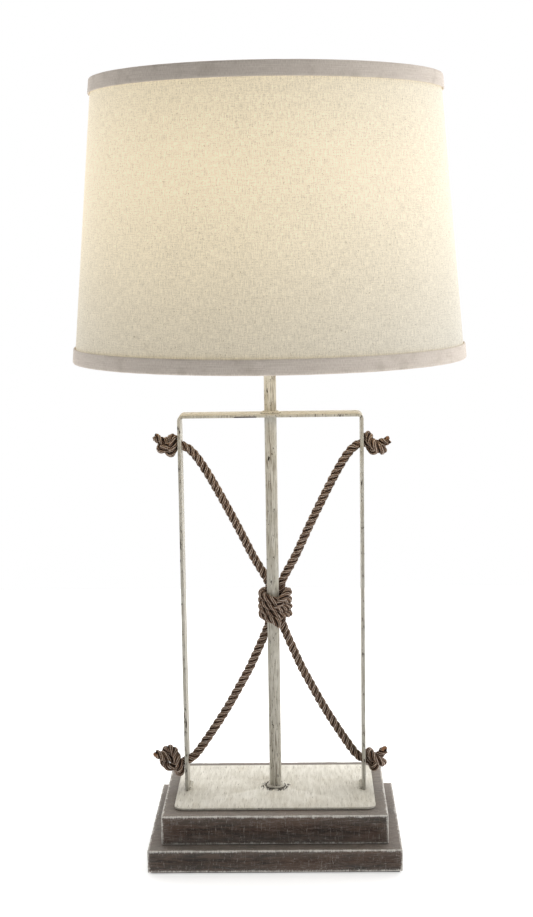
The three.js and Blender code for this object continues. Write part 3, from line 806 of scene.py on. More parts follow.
# %% Base plate
plate_low, plate_high = limits("base_plate")
plate = block("plate", plate_low, plate_high)
corner = 11


def plate_corner(edge):
    """True for the four upright edges."""
    start, end = [plate.data.vertices[v].co for v in edge.vertices]
    return abs(start.z - end.z) > 0.001


edit(plate, "EDGE", plate_corner)
bpy.ops.mesh.bevel(offset=corner * MM, segments=10, affect="EDGES")
closed_edit(plate)
bored(plate, rod("bore", (0, 0, 40), (0, 0, 70), pipe_bore))
softened(plate, 0.5, 2, 60)


def plate_edge(x, y, z):
    """The distance to the plate's rim, kept short of where the wear begins."""
    return (plate_high.x * MM - x.size()).least(plate_high.y * MM - y.size()) + 0.0008


def pole_soot(x, y, z):
    """Soot that fades from the pole outwards."""
    return ((x * x + y * y) ** 0.5).rise(0.027, 0.008)


placed(
    plate,
    "stand",
    "cream_paint",
    chipped_paint("painted_plate", 0.87, 0.2, 0.4, 0.7, (2.6, 0.4, 2.0), plate_edge, pole_soot),
    "base_plate",
)

# %% [markdown]
# ## The iron
# The pole is steel tube, so its profile has a wall and an open bore. Its side is cut into many
# short rings, which gives the relief of the paint enough points to follow.

# %% Pole
pole_low, pole_high = limits("pole")
pole_radius, pole_bore = 6.35, 5.15
pole = turned(
    "pole_pipe",
    [
        (pole_bore, pole_low.z),
        (pole_radius, pole_low.z),
        *[(pole_radius, z) for z in np.linspace(pole_low.z + 8, pole_high.z - 2, 60)],
        (pole_radius, pole_high.z - 0.5),
        (pole_radius - 0.5, pole_high.z),
        (pole_bore, pole_high.z),
        (pole_bore, pole_low.z),
    ],
    48,
)
placed(pole, "stand", "cream_paint", chipped_paint("painted_pole", 0.82, 1.0, 1.7), "pole")

# %% [markdown]
# The arch is one flat bar, bent at two corners, with holes for the ropes and for the pole. A bar
# of even thickness is easiest as a line: the outer edge is drawn, extruded to the bar's width,
# and made solid inwards. Its bends then keep their thickness by themselves. The paint is chipped
# along the bar's edges and burnt at the pole's weld.

# %% Arch
arch_low, arch_high = limits("rope_frame")
bend, bar_thickness = 6, 3.2
outside = [(-arch_high.x, arch_low.y, arch_low.z)]
for side in (-1, 1):
    turns = np.linspace(0, math.pi / 2, 9)
    for turn in turns if side < 0 else turns[::-1]:
        outside.append((
            side * (arch_high.x - bend + bend * math.cos(turn)),
            arch_low.y,
            arch_high.z - bend + bend * math.sin(turn),
        ))
outside.append((arch_high.x, arch_low.y, arch_low.z))
arch = drawn("arch", outside)
bpy.ops.mesh.select_all(action="SELECT")
bpy.ops.mesh.extrude_region_move(
    TRANSFORM_OT_translate={"value": (0, (arch_high.y - arch_low.y) * MM, 0)}
)
closed_edit(arch)
left_side = min(arch.data.polygons, key=lambda face: face.center.x)
if left_side.normal.x > 0:
    edit(arch)
    bpy.ops.mesh.flip_normals()
    bpy.ops.object.mode_set(mode="OBJECT")
applied(arch, "SOLIDIFY", thickness=bar_thickness * MM, offset=-1, use_even_offset=True)
rope_hole, high_hole, low_hole = 5.2, 431, 87
reach = arch_high.x + 5
bored(
    arch,
    *[rod("hole", (-reach, 0, z), (reach, 0, z), rope_hole, 24) for z in (high_hole, low_hole)],
    rod("hole", (0, 0, arch_high.z - 10), (0, 0, arch_high.z + 5), pole_radius + 0.3, 32),
)
softened(arch, 0.5, 2, 40)


def bar_edge(x, y, z):
    """The distance to the bar's nearer edge."""
    return arch_high.y * MM - y.size()


def bar_scorch(x, y, z):
    """Burnt round the pole's weld, and chipped along the front lower edge beside it."""
    welded = ((x * x + y * y) ** 0.5).rise(0.015, 0.009) * z.rise(0.45, 0.455)
    front = (y - arch_low.y * MM).rise(0.003, 0.0005) * (z - arch_high.z * MM).rise(-0.0014, -0.0024)
    beside = (x + 0.026).size().rise(0.014, 0.009)
    return welded * 0.9 + front * beside * 2.0


# The arch takes the same paint toned darker (0.68): painted shade on the bar.
placed(
    arch,
    "stand",
    "cream_paint",
    chipped_paint("painted_bar", 0.68, 0.7, 0.9, 1.0, (2.0, 2.0, 0.35), bar_edge, bar_scorch),
    "rope_frame",
)

# %% [markdown]
# Each weld is a run of overlapping beads of melted steel, painted over with the rest. The two
# round the pole are rings, made lumpy by a cloud pattern. Those along the legs are rows of
# spheres, each a little longer or higher than the next, as a welder's hand leaves them.

# %% Welds
def bead_ring(name, radius, z, size):
    """A lumpy ring of weld round the pole."""
    ring = fresh(
        name,
        bpy.ops.mesh.primitive_torus_add,
        major_radius=radius * MM,
        minor_radius=size * MM,
        major_segments=72,
        minor_segments=14,
        location=(0, 0, z * MM),
    )
    ring.scale = (1, 1, 0.9)
    settled(ring)
    waved(ring, 1.3, 3.2)
    waved(ring, 0.5, 1.2)
    return smooth(ring, 80)


weld_finish = chipped_paint("painted_weld", 0.8, 1.3, 0.8, 1.2, (1.5, 1.5, 1.5))
bar_weld = bead_ring("bar_weld", pole_radius + 1.4, arch_high.z + 0.5, 1.7)
placed(bar_weld, "stand", "cream_paint", weld_finish, "pole_bar_weld")
foot_weld = bead_ring("foot_weld", pole_radius + 1.4, plate_high.z + 0.6, 1.8)
placed(foot_weld, "stand", "cream_paint", weld_finish, "pole_foot_weld")

beads_on_leg, bead_radius = 8, 1.9
for side, word in ((-1, "left"), (1, "right")):
    low, high = limits(f"leg_weld_{word}")
    beads = []
    for i, y in enumerate(np.linspace(low.y + 1.2, high.y - 1.2, beads_on_leg)):
        bead = fresh(
            "bead",
            bpy.ops.mesh.primitive_uv_sphere_add,
            segments=16,
            ring_count=10,
            radius=bead_radius * MM,
            location=(
                (arch_high.x - bar_thickness - 1.0) * side * MM,
                y * MM,
                (plate_high.z + 0.8) * MM,
            ),
            scale=(1.1 + 0.25 * math.sin(2.1 * i), 1.15, 0.95 + 0.2 * math.cos(1.7 * i)),
        )
        beads.append(settled(bead))
    weld = joined(f"leg_weld_run_{word}", *beads)
    waved(weld, 0.6, 2.0)
    smooth(weld, 80)
    placed(weld, "stand", "cream_paint", weld_finish, f"leg_weld_{word}")

# %% [markdown]
# ## The ropes
# Each rope is laid from three strands, and each strand from its own yarns. The strands could be a
# bump on one round tube, but the rope's outline shows the twist, so each strand is a tube of its
# own that winds round the centre line, with its yarns as ridges. The twist is counted along the
# rope, so it is even round bends and through knots. The tubes' faces are worked out in code,
# because no modifier winds a tube and lays its UV map at once.

# %% Rope building
def even_line(points, step):
    """The same line with points at even steps along it."""
    points = np.asarray(points, float)
    runs = np.linalg.norm(np.diff(points, axis=0), axis=1)
    along = np.r_[0, np.cumsum(runs)]
    count = max(int(round(along[-1] / step)) + 1, 3)
    at = np.linspace(0, along[-1], count)
    return np.column_stack([np.interp(at, along, points[:, k]) for k in range(3)])


def eased(points, step, rounds):
    """A line with its corners eased, and its ends kept."""
    line = even_line(points, step)
    for _ in range(rounds):
        line[1:-1] += 0.5 * (0.5 * (line[2:] + line[:-2]) - line[1:-1])
    return even_line(line, step)


def upright_frames(line):
    """A direction along the line and two across it at each point, that don't twist."""
    along = np.gradient(line, axis=0)
    along /= np.linalg.norm(along, axis=1)[:, None]
    across = np.empty_like(along)
    first = np.cross(along[0], (0.3, 0.2, 0.93))
    across[0] = first / np.linalg.norm(first)
    for i in range(1, len(line)):
        side = across[i - 1] - along[i] * np.dot(across[i - 1], along[i])
        across[i] = side / np.linalg.norm(side)
    return along, across, np.cross(along, across)


def laid_rope(name, line, radius, strands=3, sides=18):
    """A twisted rope along a centre line, in millimetres, with its yarns as ridges."""
    line = even_line(line, 1.25)
    along, across, upward = upright_frames(line)
    run = np.r_[0, np.cumsum(np.linalg.norm(np.diff(line, axis=0), axis=1))]
    strand_radius = radius * 0.49
    offset = radius - strand_radius
    points, faces, uvs = [], [], []
    turn = np.linspace(0, 2 * math.pi, sides, endpoint=False)
    for k in range(strands):
        angle = 2 * math.pi * (run / rope_lay + k / strands)
        out = np.cos(angle)[:, None] * across + np.sin(angle)[:, None] * upward
        centre = line + offset * out
        forward = np.gradient(centre, axis=0)
        forward /= np.linalg.norm(forward, axis=1)[:, None]
        side = np.cross(forward, out)
        side /= np.linalg.norm(side, axis=1)[:, None]
        yarn_turn = strand_yarns * turn[None, :] - 2 * math.pi * run[:, None] / yarn_lay
        ridge = 1 + 0.07 * np.cos(yarn_turn)
        wobble = 1 + 0.02 * np.sin(run * 0.9 + 2 * k)
        r = strand_radius * ridge * wobble[:, None]
        ring = (
            centre[:, None, :]
            + (r * np.cos(turn))[:, :, None] * out[:, None, :]
            + (r * np.sin(turn))[:, :, None] * side[:, None, :]
        )
        base = len(points)
        n = len(line)
        points.extend(map(tuple, ring.reshape(-1, 3) * MM))
        points.extend([tuple(centre[0] * MM), tuple(centre[-1] * MM)])
        for i in range(n - 1):
            for j in range(sides):
                j2 = (j + 1) % sides
                a, b = base + i * sides, base + (i + 1) * sides
                faces.append((a + j, b + j, b + j2, a + j2))
                u0, u1 = run[i] * MM, run[i + 1] * MM
                v0, v1 = j / sides, (j + 1) / sides
                uvs.extend([(u0, v0), (u1, v0), (u1, v1), (u0, v1)])
        # the two cut ends
        for row, hub, flip in ((0, base + n * sides, 1), (n - 1, base + n * sides + 1, -1)):
            for j in range(sides):
                rim = [base + row * sides + j, base + row * sides + (j + 1) % sides]
                faces.append((hub, *rim[::flip]))
                uvs.extend([(-1.0, 0.5)] * 3)
    mesh = bpy.data.meshes.new(name)
    mesh.from_pydata(points, [], faces)
    layer = mesh.uv_layers.new(name="UVMap")
    layer.data.foreach_set("uv", np.array(uvs, np.float32).ravel())
    obj = bpy.data.objects.new(name, mesh)
    bpy.context.scene.collection.objects.link(obj)
    edit(obj)
    bpy.ops.mesh.normals_make_consistent(inside=False)
    bpy.ops.object.mode_set(mode="OBJECT")
    smooth(obj, 70)
    return obj


# %% [markdown]
# ## The stopper knots
# A knot outside each hole keeps the rope from slipping back. A knot drawn by hand always cuts
# through itself somewhere. Here a loose overhand knot, which is the curve called a trefoil, is
# pulled tight by a small simulation: the tail is pulled, the leg of the arch holds the knot back,
# and stretches of rope that touch push each other apart. It runs for a fixed number of rounds,
# in which the loops draw snug.

# %% Stopper knot
def overhand_knot(diameter, pull, rounds, press=0.0009, drag=0.040):
    """The centre line of an overhand knot drawn tight against a plate at x = 0, in millimetres.

    The rope comes out of a hole along -x, and its tail leaves towards pull. The line keeps its
    length and its thickness while the knot closes on itself. In each round drag moves the ends
    and press moves what stands far out, both as shares of the diameter.
    """
    step = diameter * 0.27
    open_ends = 0.55  # how much of the trefoil is cut away, so that it has two ends
    t = np.linspace(open_ends - math.pi, math.pi - open_ends, 160)
    loop = np.c_[
        np.sin(t) + 2 * np.sin(2 * t), np.cos(t) - 2 * np.cos(2 * t), -1.1 * np.sin(3 * t)
    ] * diameter * 0.8
    lead = np.outer(np.linspace(1, 0, 30, endpoint=False), [diameter * 4, -diameter * 1.2, 0])
    tail = np.outer(np.linspace(0, 1, 31)[1:], [-diameter * 2.2, -diameter * 1.6, 0])
    line = even_line(np.vstack([loop[0] + lead, loop, loop[-1] + tail]), step)
    line[:, 0] -= line[:, 0].max() * 0.8
    i, j = np.triu_indices(len(line), 4)
    pull = np.array(pull)
    for _ in range(rounds):
        line[0, 0] += drag * diameter
        line[-1] += pull * drag * diameter
        line[:, 0] += press * diameter * (line[:, 0] < -diameter * 1.1)
        inside = int(np.argmax(line[:, 0] < -diameter * 0.45))
        for _ in range(2):
            # sharp bends open, because rope is stiff
            gap = line[2:] - line[:-2]
            far = np.linalg.norm(gap, axis=1)
            push = gap / far[:, None] * (np.clip(1.8 * step - far, 0, None) * 0.25)[:, None]
            line[2:] += push
            line[:-2] -= push
            line[1:-1] += (0.5 * (line[2:] + line[:-2]) - line[1:-1]) * 0.04
            # stretches that touch push each other apart
            gap = line[j] - line[i]
            far = np.sqrt((gap * gap).sum(1))
            hit = far < diameter
            push = gap[hit] / far[hit][:, None] * ((diameter - far[hit]) * 0.3)[:, None]
            np.add.at(line, j[hit], push)
            np.add.at(line, i[hit], -push)
            # the lead stays in the hole, and the knot stays outside it
            line[:inside, 1:] *= 0.8
            outer = line[inside + 2:, 0]
            np.minimum(outer, -diameter * 0.5, out=outer)
            # every piece of the line keeps its length
            for first in (0, 1):
                count = (len(line) - first) // 2
                head = line[first:first + 2 * count:2]
                after = line[first + 1:first + 2 * count:2]
                gap = after - head
                far = np.sqrt((gap * gap).sum(1))
                push = gap / far[:, None] * ((far - step) * 0.5)[:, None]
                head += push
                after -= push
    # the tail is cut 8 mm past the last place where the knot touches itself
    line = line[inside:]
    gap = np.linalg.norm(line[:, None] - line[None], axis=2)
    order = np.arange(len(line))
    touching = (gap < diameter * 1.15) & (np.abs(order[:, None] - order[None]) > 5)
    last = np.where(touching.any(1))[0].max()
    return line[:last + int(8.0 / step)]


rope_radius = 4.7
pressed = 7.3  # how thin the rope is squeezed inside a knot
rounds = 4500
knots = {
    "round": overhand_knot(pressed, (-0.6, -0.8, 0.0), rounds),
    "long": overhand_knot(pressed, (-0.85, -0.5, 0.0), rounds),
}
for kind, knot in knots.items():
    print(kind, "knot, mm:", (np.ptp(knot, axis=0) + 2 * rope_radius).round(1))

# %% Four knots
# which knot, its turn about the hole in degrees, and how slack it is tied
stoppers = {
    (-1, high_hole): ("long", 240, 1.08),
    (1, high_hole): ("long", 215, 1.10),
    (-1, low_hole): ("long", 300, 1.35),
    (1, low_hole): ("round", 240, 1.10),
}
knot_sag, sag_reach = 4.0, 8  # how far a knot hangs, and how far from the leg it hangs fully


def knot_at(side, z):
    """A knot outside a leg, turned about the hole, from the tail's end to the hole."""
    kind, turn, slack = stoppers[(side, z)]
    points = knots[kind] * slack
    c, s = math.cos(math.radians(turn)), math.sin(math.radians(turn))
    y, up = points[:, 1].copy(), points[:, 2].copy()
    points[:, 1], points[:, 2] = c * y - s * up, s * y + c * up
    points[:, 2] -= knot_sag * np.clip(-points[:, 0] / sag_reach, 0, 1)
    if side > 0:
        points[:, :2] *= -1
    points += [side * (arch_high.x + 0.4), 0, z]
    return points[::-1]


# %% [markdown]
# ## The ropes' way
# Both ropes hang slack, so each bows outwards between its leg and the pole. Each starts in the
# knot at the top of its leg, passes behind the pole under the lashing, and comes back to the knot
# at the foot of the same leg. The points are listed as distance from the pole's axis and height,
# and both ropes share them, because the real ones mirror each other.

# %% Rope routes
upper_route = [
    (97, 431), (91, 430), (84, 424.5), (77, 415.5), (66, 397), (52, 370), (37, 340),
    (22, 308), (10.5, 288), (6, 280), (5.5, 271),
]
lower_route = [
    (5.5, 247), (6, 238), (9.5, 229), (15, 216), (28, 187), (49, 149), (60, 131),
    (74, 110), (84, 95.5), (91, 88), (97, 87),
]


ropes_shift = 2.2  # both ropes lean a little to the right where they pass the pole
rope_beside, rope_behind = 5.5, 9.2  # where each rope passes the pole's axis
leg_inside, swing = 96.5, 91  # the rope swings from the leg to behind the pole over this distance


def routed(side, route):
    """A route of (distance from the pole, height) points, swung behind the pole."""
    points = []
    for out, z in route:
        share = min(max((leg_inside - out) / swing, 0), 1)
        points.append((side * out + ropes_shift * share, rope_behind * share, z))
    return points


for side, word in ((-1, "left"), (1, "right")):
    middle = eased(routed(side, upper_route + lower_route), 2.0, 12)
    top_knot, foot_knot = knot_at(side, high_hole), knot_at(side, low_hole)
    line = np.vstack([top_knot, middle, foot_knot[::-1]])
    line = eased(line, 1.5, 1)
    length = np.linalg.norm(np.diff(line, axis=0), axis=1).sum()
    print(f"{word} rope: {length:.0f} mm of rope")
    rope = laid_rope(f"{word}_rope", line, rope_radius)
    placed(rope, "stand", "brown_rope", rope_brown, f"rope_{word}")

# %% [markdown]
# The lashing binds both ropes to the pole: one short rope wound round all three, each turn
# dropping as it crosses the front, its ends tucked under. The turns could be rings, but a real
# lashing is one rope, so its line is worked out as a loop round the tight outline of the bundle.

# %% Lashing
def band_point(angle, spare):
    """A point of the tight outline round the pole and both ropes, in a given direction."""
    across = np.array([math.cos(angle), math.sin(angle)])
    held = [
        ((0, 0), pole_radius),
        ((rope_beside + ropes_shift, rope_behind), rope_radius),
        ((-rope_beside + ropes_shift, rope_behind), rope_radius),
    ]
    (x, y), radius = max(held, key=lambda rod: np.dot(rod[0], across) + rod[1])
    return np.array([x, y]) + (radius + spare) * across


lash_radius = 4.3
lash_top, lash_pitch, lash_turns, lash_slant = 269.0, 7.4, 3.4, 1.8
winding = []
for t in np.linspace(0, lash_turns, 280):
    x, y = band_point(math.pi / 2 + 2 * math.pi * t, lash_radius)
    drop = t - lash_slant / (2 * math.pi) * math.sin(2 * math.pi * t)
    winding.append((x, y, lash_top - lash_pitch * drop))
upper_end = [
    (2, -9, 257), (6.5, -10.5, 262), (11, -9.5, 268), (15, -3.5, 271.5), (16.5, 5, 271),
    (15, 13, 270),
]
lower_end = [(-2, -12.8, 245.5), (2, -14.8, 244), (5, -14, 241.5), (5.5, -11, 239)]
lash_line = eased(np.vstack([upper_end, winding[8:-8], lower_end]), 1.5, 4)
lash_length = np.linalg.norm(np.diff(lash_line, axis=0), axis=1).sum()
print(f"lashing: {lash_length:.0f} mm of rope")
lashing = laid_rope("lashing", lash_line, lash_radius)
placed(lashing, "stand", "brown_rope", rope_brown, "rope_lashing")

# %% [markdown]
# ## The shade
# Linen is glued to a plastic lining and rolled into a cone, which two wire rings hold open. It is
# stretched and doesn't sag, so it is a turned cone with a thin wall and not a draped cloth. Each
# cone takes its reach from the plain part that it stands for.

# %% Shade cone
shade_bottom, shade_top = 520.0, 804.0
outer_bottom, outer_top = 203.0, 178.7
trim_proud, linen_wall, lining_wall = 2.0, 0.6, 0.5
shade_slope = (outer_top - outer_bottom) / (shade_top - shade_bottom)


def trim_radius(z):
    """The outside of the tape at a height."""
    return outer_bottom + (outer_top - outer_bottom) * (z - shade_bottom) / (shade_top - shade_bottom)


def cone(name, low, high, radius_low, radius_high, wall, rows=24, steps=160):
    """A thin cone of sheet, open at both ends."""
    rise = np.linspace(0, 1, rows)
    outer = [(radius_low + (radius_high - radius_low) * t, low + (high - low) * t) for t in rise]
    inner = [(radius - wall, z) for radius, z in reversed(outer)]
    return turned(name, [*outer, *inner, outer[0]], steps)


def node_cone(name, node_name, wall):
    """A cone of the same reach as a CAD node."""
    low, high = limits(node_name)
    return cone(name, low.z, high.z, high.x, high.x + shade_slope * (high.z - low.z), wall)


fabric = node_cone("linen_cone", "shade_fabric", linen_wall)
placed(fabric, "shade", "shade_linen", linen.material, "shade_fabric")
liner = node_cone("lining_cone", "shade_liner", lining_wall)
placed(liner, "shade", "shade_liner", lining.material, "shade_liner")

# %% [markdown]
# A tape of the same linen is folded over each ring and glued inside and out. Its section is drawn
# once, as a hook that goes up for the lower ring and down for the upper, and spun. A slight wave
# along it keeps it from looking machined.

# %% Tapes
def taped(name, node_name, profile):
    """A tape folded over a ring, with its profile given by (radius, height) points."""
    hem = turned(name, profile, 160)
    waved(hem, 0.35, 6)
    softened(hem, 0.25, 2, 50)
    placed(hem, "shade", "shade_tape", tape, node_name)


trim_height, ring_wire, inner_fold = 15, 1.3, 0.9


def tape_profile(edge, up):
    """The section of the tape round an edge: outer leg, fold over the ring and inner leg."""
    def z(rise):
        return edge + up * rise

    outer = trim_radius
    inside = outer(edge) - trim_proud - linen_wall - 2 * ring_wire - inner_fold
    return [
        (outer(z(trim_height)) - 1.6, z(trim_height)),
        (outer(z(trim_height)) - 0.4, z(trim_height)),
        (outer(z(trim_height - 0.8)), z(trim_height - 0.8)),
        *[(outer(z(h)), z(h)) for h in np.linspace(trim_height - 3, 3, 6)],
        (outer(z(1.2)) - 0.1, z(1.2)),
        (outer(edge) - 0.7, z(0.3)),
        (outer(edge) - 1.8, edge),
        (inside + 1.4, edge),
        (inside + 0.4, z(0.3)),
        (inside, z(1.2)),
        (inside - 0.3, z(9)),
        (inside + 0.6, z(9)),
        (inside + 0.8, z(1.6)),
        (outer(z(1.4)) - 1.6, z(1.4)),
        (outer(z(trim_height)) - 1.6, z(trim_height)),
    ]


taped("bottom_tape", "shade_bottom_trim", tape_profile(shade_bottom, 1))
taped("top_tape", "shade_top_trim", tape_profile(shade_top, -1))

# %% [markdown]
# ## Rings and spider
# Steel wire, spot welded and painted white: a plain ring at the foot, and at the top a ring with
# three arms that meet in a washer under the finial. A ring is a torus and an arm a rod. The welded
# pieces are joined into one object, because they move as one.

# %% Rings
def wire_ring(name, node_name, z):
    """A ring of wire as wide as a CAD node, at a height."""
    _, high = limits(node_name)
    ring = fresh(
        name,
        bpy.ops.mesh.primitive_torus_add,
        major_radius=(high.x - ring_wire) * MM,
        minor_radius=ring_wire * MM,
        major_segments=160,
        minor_segments=12,
        location=(0, 0, z * MM),
    )
    return smooth(settled(ring), 80)


low_ring = wire_ring("lower_ring", "shade_lower_ring", shade_bottom + 2.7)
placed(low_ring, "shade", "ring_wire", white_wire, "shade_lower_ring")

rim_z = shade_top - 1.4 - ring_wire
top_ring = wire_ring("spider_ring", "shade_spider", rim_z)
_, spider_high = limits("shade_spider")
washer_bottom, washer_thick, washer_hole = 786.3, 1.6, 3.5
washer = turned(
    "spider_washer",
    [
        (washer_hole, washer_bottom),
        (12, washer_bottom),
        (12.2, washer_bottom + washer_thick / 2),
        (12, washer_bottom + washer_thick),
        (washer_hole, washer_bottom + washer_thick),
        (washer_hole, washer_bottom),
    ],
    48,
)
arms = []
for k in range(3):
    angle = math.pi / 2 + 2 * math.pi * k / 3
    c, s = math.cos(angle), math.sin(angle)
    rim = spider_high.x - ring_wire
    arms.append(rod(
        "spider_arm",
        (10 * c, 10 * s, washer_bottom + washer_thick / 2),
        (rim * c, rim * s, rim_z),
        ring_wire,
        14,
    ))
spider = joined("spider", top_ring, washer, *arms)
smooth(spider, 50)
placed(spider, "shade", "ring_wire", white_wire, "shade_spider")

# %% [markdown]
# ## Harp
# The harp is one springy brass wire that carries the shade on a flattened eye. Its feet drop into a
# saddle, and two sleeves slide down to lock them, so its lowest stretch is straight. A curve with a
# round bevel makes the wire, from a line whose corners are eased.

# %% Harp
def bent_wire(name, points, radius):
    """A round wire that bends evenly through the points, in millimetres."""
    line = eased(points, 2.0, 10)
    curve = bpy.data.curves.new(name, "CURVE")
    curve.dimensions = "3D"
    curve.bevel_depth = radius * MM
    curve.bevel_resolution = 4
    curve.use_fill_caps = True
    spline = curve.splines.new("POLY")
    spline.points.add(len(line) - 1)
    for spot, p in zip(spline.points, line):
        spot.co = (*(p * MM), 1)
    obj = bpy.data.objects.new(name, curve)
    bpy.context.scene.collection.objects.link(obj)
    only(obj)
    bpy.ops.object.convert(target="MESH")
    edit(obj)
    closed_edit(obj)
    return smooth(obj, 80)


sleeve_out = 30  # how far each sleeve stands from the axis
harp_side = [  # straight at its foot, where the sleeve slides
    (sleeve_out, 606.5), (sleeve_out, 617), (sleeve_out, 631), (41, 652), (51.5, 676),
    (55.5, 703), (50, 738), (34, 765), (16, 780),
]
harp_points = [
    *[(-x, 0, z) for x, z in harp_side],
    (0, 0, 782),
    *[(x, 0, z) for x, z in harp_side[::-1]],
]
harp_wire = bent_wire("harp_wire", harp_points, 1.6)
eye_low, eye_high = 780.5, 783.5
eye = turned(
    "harp_eye",
    [
        (2.3, eye_low), (7.5, eye_low), (7.9, eye_low + 1.5), (7.5, eye_high), (2.3, eye_high),
        (2.3, eye_low),
    ],
    32,
)
harp = joined("harp_bow", harp_wire, eye)
placed(harp, "stand", "brass", brass, "harp")

# %% Sleeves
for side, word in ((-1, "left"), (1, "right")):
    low, high = limits(f"harp_sleeve_{word}")
    sleeve = turned(
        f"sleeve_{word}_tube",
        [
            (1.95, low.z), (3.1, low.z), (3.3, low.z + 1), (3.1, low.z + 2), (3.1, high.z - 2),
            (3.3, high.z - 1), (3.1, high.z), (1.95, high.z), (1.95, low.z),
        ],
        24,
    )
    sleeve.location.x = side * sleeve_out * MM
    settled(sleeve)
    placed(sleeve, f"sleeve_{word}", "brass", brass, f"harp_sleeve_{word}")

# %% [markdown]
# ## Lamp holder and bulb
# The holder is pressed from brass sheet: a shell with a ribbed band, snapped into a bell shaped
# cap. Pressed sheet, glass and turned metal are all round, so each is a profile spun once, with
# its wall drawn as a way out and a way back. The shape reads from the small beads and lips.

# %% Holder
shell_ribs = [(15.9 + 0.18 * (i % 2), 619 + i * 1.1) for i in range(8)]
shell = turned(
    "holder_shell",
    [
        (15.2, 608), (15.6, 608), (15.6, 613.5), (16.5, 614.3), (16.3, 616), (15.9, 617.5),
        *shell_ribs,
        (15.9, 628.5), (15.9, 643), (16.4, 644.2), (16.4, 645.4), (15.9, 646),
        (14.3, 646), (14.3, 645.2), (15.2, 644.8), (15.2, 608),
    ],
)
placed(shell, "stand", "brass", brass, "socket_shell")
knob_height, knob_out = 615, 18.5
cap = turned(
    "holder_cap",
    [
        (5.15, 587.2), (8, 587.2), (8.4, 589), (10, 593.2), (13, 597), (16, 601), (17, 604.2),
        (17, 608), (17.2, 609), (17.2, 612.2), (17, 613.2), (16, 613.2), (16, 604.7),
        (12.5, 598.3), (9, 594.2), (5.15, 591.2), (5.15, 587.2),
    ],
)
bored(cap, rod("shaft_hole", (0, -34, knob_height), (0, -1, knob_height), 2.1, 24))
placed(cap, "stand", "brass", brass, "socket_cap")

# %% [markdown]
# The switch has a moulded knob with flats pressed round its rim for grip. It is turned upright,
# where its rim is easy to select, and laid on its side last.

# %% Turn knob
grip = turned(
    "knob_grip",
    [
        (0, 0), (4.5, 0), (5.6, 0.4), (6.2, 1.4), (6.2, 10.4), (5.6, 11), (0, 11),
    ],
    24,
)


def rim_edge(edge):
    """True for the long edges round the rim."""
    start, end = [grip.data.vertices[v].co for v in edge.vertices]
    return min(start.xy.length, end.xy.length) > 0.006 and abs(start.z - end.z) > 0.004


def rib_point(vertex):
    """True for the points of the rim that stand out as ribs."""
    turn = math.atan2(vertex.co.y, vertex.co.x)
    return abs(math.sin(12 * turn)) > 0.6 and vertex.co.xy.length > 0.0055


edit(grip, "EDGE", rim_edge)
bpy.ops.mesh.bevel(offset=0.45 * MM, segments=2, affect="EDGES")
closed_edit(grip)
edit(grip, "VERT", rib_point)
bpy.ops.transform.resize(value=(1.06, 1.06, 1.0), center_override=(0, 0, 0))
closed_edit(grip)
shaft = rod("knob_shaft", (0, 0, -13.5), (0, 0, 1), 1.5, 20)
knob = joined("turn_knob", grip, shaft)
knob.rotation_euler = (math.pi / 2, 0, 0)
knob.location = Vector((0, -knob_out, knob_height)) * MM
settled(knob)
smooth(knob, 40)
placed(knob, "switch_knob", "black_plastic", black_plastic, "switch_knob")

# %% Bulb
bulb_radius, bulb_middle, tip_rise, glass_wall = 30, 700, 36, 1
crown = np.linspace(0.15, 1.5, 10)  # angles from the bulb's widest ring to near its tip
glass = turned(
    "bulb_envelope",
    [
        (11.6, 642), (11.6, 652), (12.4, 656), (14.5, 661), (18.2, 667), (22.4, 673.5),
        (26.0, 681), (28.8, 690), (bulb_radius, bulb_middle),
        *[(bulb_radius * math.cos(a), bulb_middle + tip_rise * math.sin(a)) for a in crown],
        (0, bulb_middle + tip_rise), (0, bulb_middle + tip_rise - glass_wall),
        *[
            (
                (bulb_radius - glass_wall) * math.cos(a),
                bulb_middle + (tip_rise - glass_wall) * math.sin(a),
            )
            for a in crown[::-1]
        ],
        (bulb_radius - glass_wall, bulb_middle), (25, 681), (17.2, 667), (11.4, 656),
        (10.6, 652), (10.6, 642), (11.6, 642),
    ],
)
placed(glass, "bulb", "frosted_glass", frost.material, "bulb_glass")
cap_ribs = [(13 - 0.5 * (i % 2), 631 + i * 1.5) for i in range(11)]
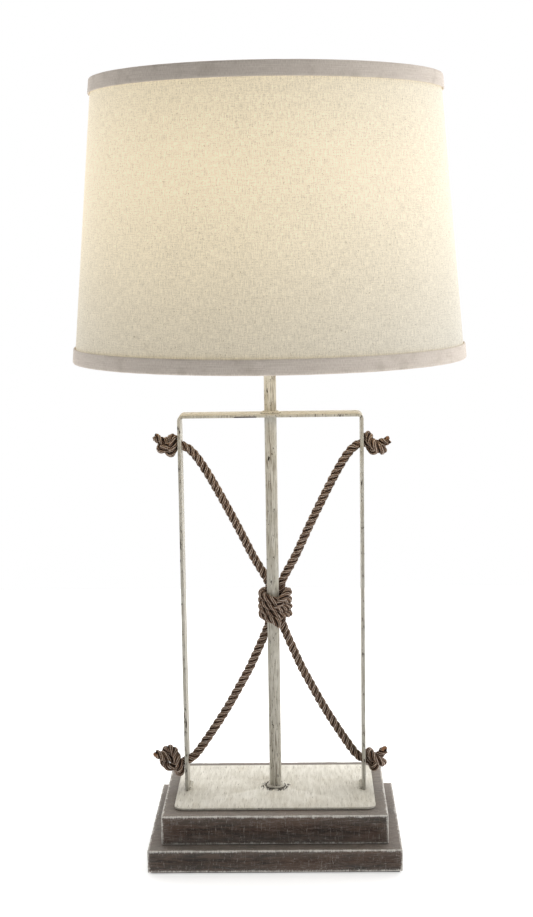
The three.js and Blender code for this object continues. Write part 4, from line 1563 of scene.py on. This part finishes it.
bulb_cap = turned(
    "bulb_screw_cap",
    [
        (5.3, 627.5), (9, 627.5), (12.4, 630), *cap_ribs, (13, 648.5), (13, 650),
        (12.2, 650), (12.2, 631), (8.6, 628.3), (5.3, 628.3), (5.3, 627.5),
    ],
)
placed(bulb_cap, "bulb", "bulb_cap_metal", nickel, "bulb_cap")

# %% [markdown]
# ## Finial
# The finial is a turned ball on a collar, screwed on the harp's stud to hold the shade down. It
# stands in the middle of the washer and is turned from one profile, stud hole included.

# %% Finial
base = limits("finial")[0].z
finial_rise, ball_radius = 22, 7.6
stud_hole, hole_top = 3.45, 801.5
ball = base + finial_rise - ball_radius
finial = turned(
    "finial_ball",
    [
        (stud_hole, base), (5.6, base), (6, base + 0.5), (6, base + 2), (5.4, base + 2.8),
        (4.7, base + 4), (4.5, base + 5.2), (4.6, ball - 6.6), (5.4, ball - 5.6),
        *[
            (ball_radius * math.cos(a), ball + ball_radius * math.sin(a))
            for a in np.linspace(-0.72, 1.5, 16)
        ],
        (0, base + finial_rise), (0, hole_top), (stud_hole, hole_top), (stud_hole, base),
    ],
    48,
)
placed(finial, "finial", "cream_finial", cream_gloss, "finial")

# %% [markdown]
# ## Small parts
# Screws, the washer and nut under the base, the pipe through it, the felt, the harp's saddle and
# the parts inside the holder are plain and half hidden. Their shapes are already right, so they
# keep them and only get finishes.

# %% Finishes of the remaining parts
refinished("felt_pad", felt_finish.material)
base_screws = [f"base_screw_{number}" for number in range(1, 5)]
for name in (*base_screws, "foot_pipe", "base_washer", "base_nut", "neck_nipple"):
    refinished(name, zinc)
refinished("cord_outlet_bushing", black_plastic)
for name in ("harp_saddle", "screw_shell", "centre_contact", "harp_stud"):
    refinished(name, brass)
refinished("socket_liner", card)
refinished("switch_housing", black_plastic)
refinished("bulb_contact", black_glass)

# %% [markdown]
# ## The cloth's real size
# A cone opens out flat to part of a ring, as wide as the slant of the cone and as long as its
# middle circumference. Both are measured on the linen itself, because the cutter needs the size of
# the cloth and not that of the shade. The rings hold it stretched.

# %% Sheet of linen
low, high = limits("shade_fabric")
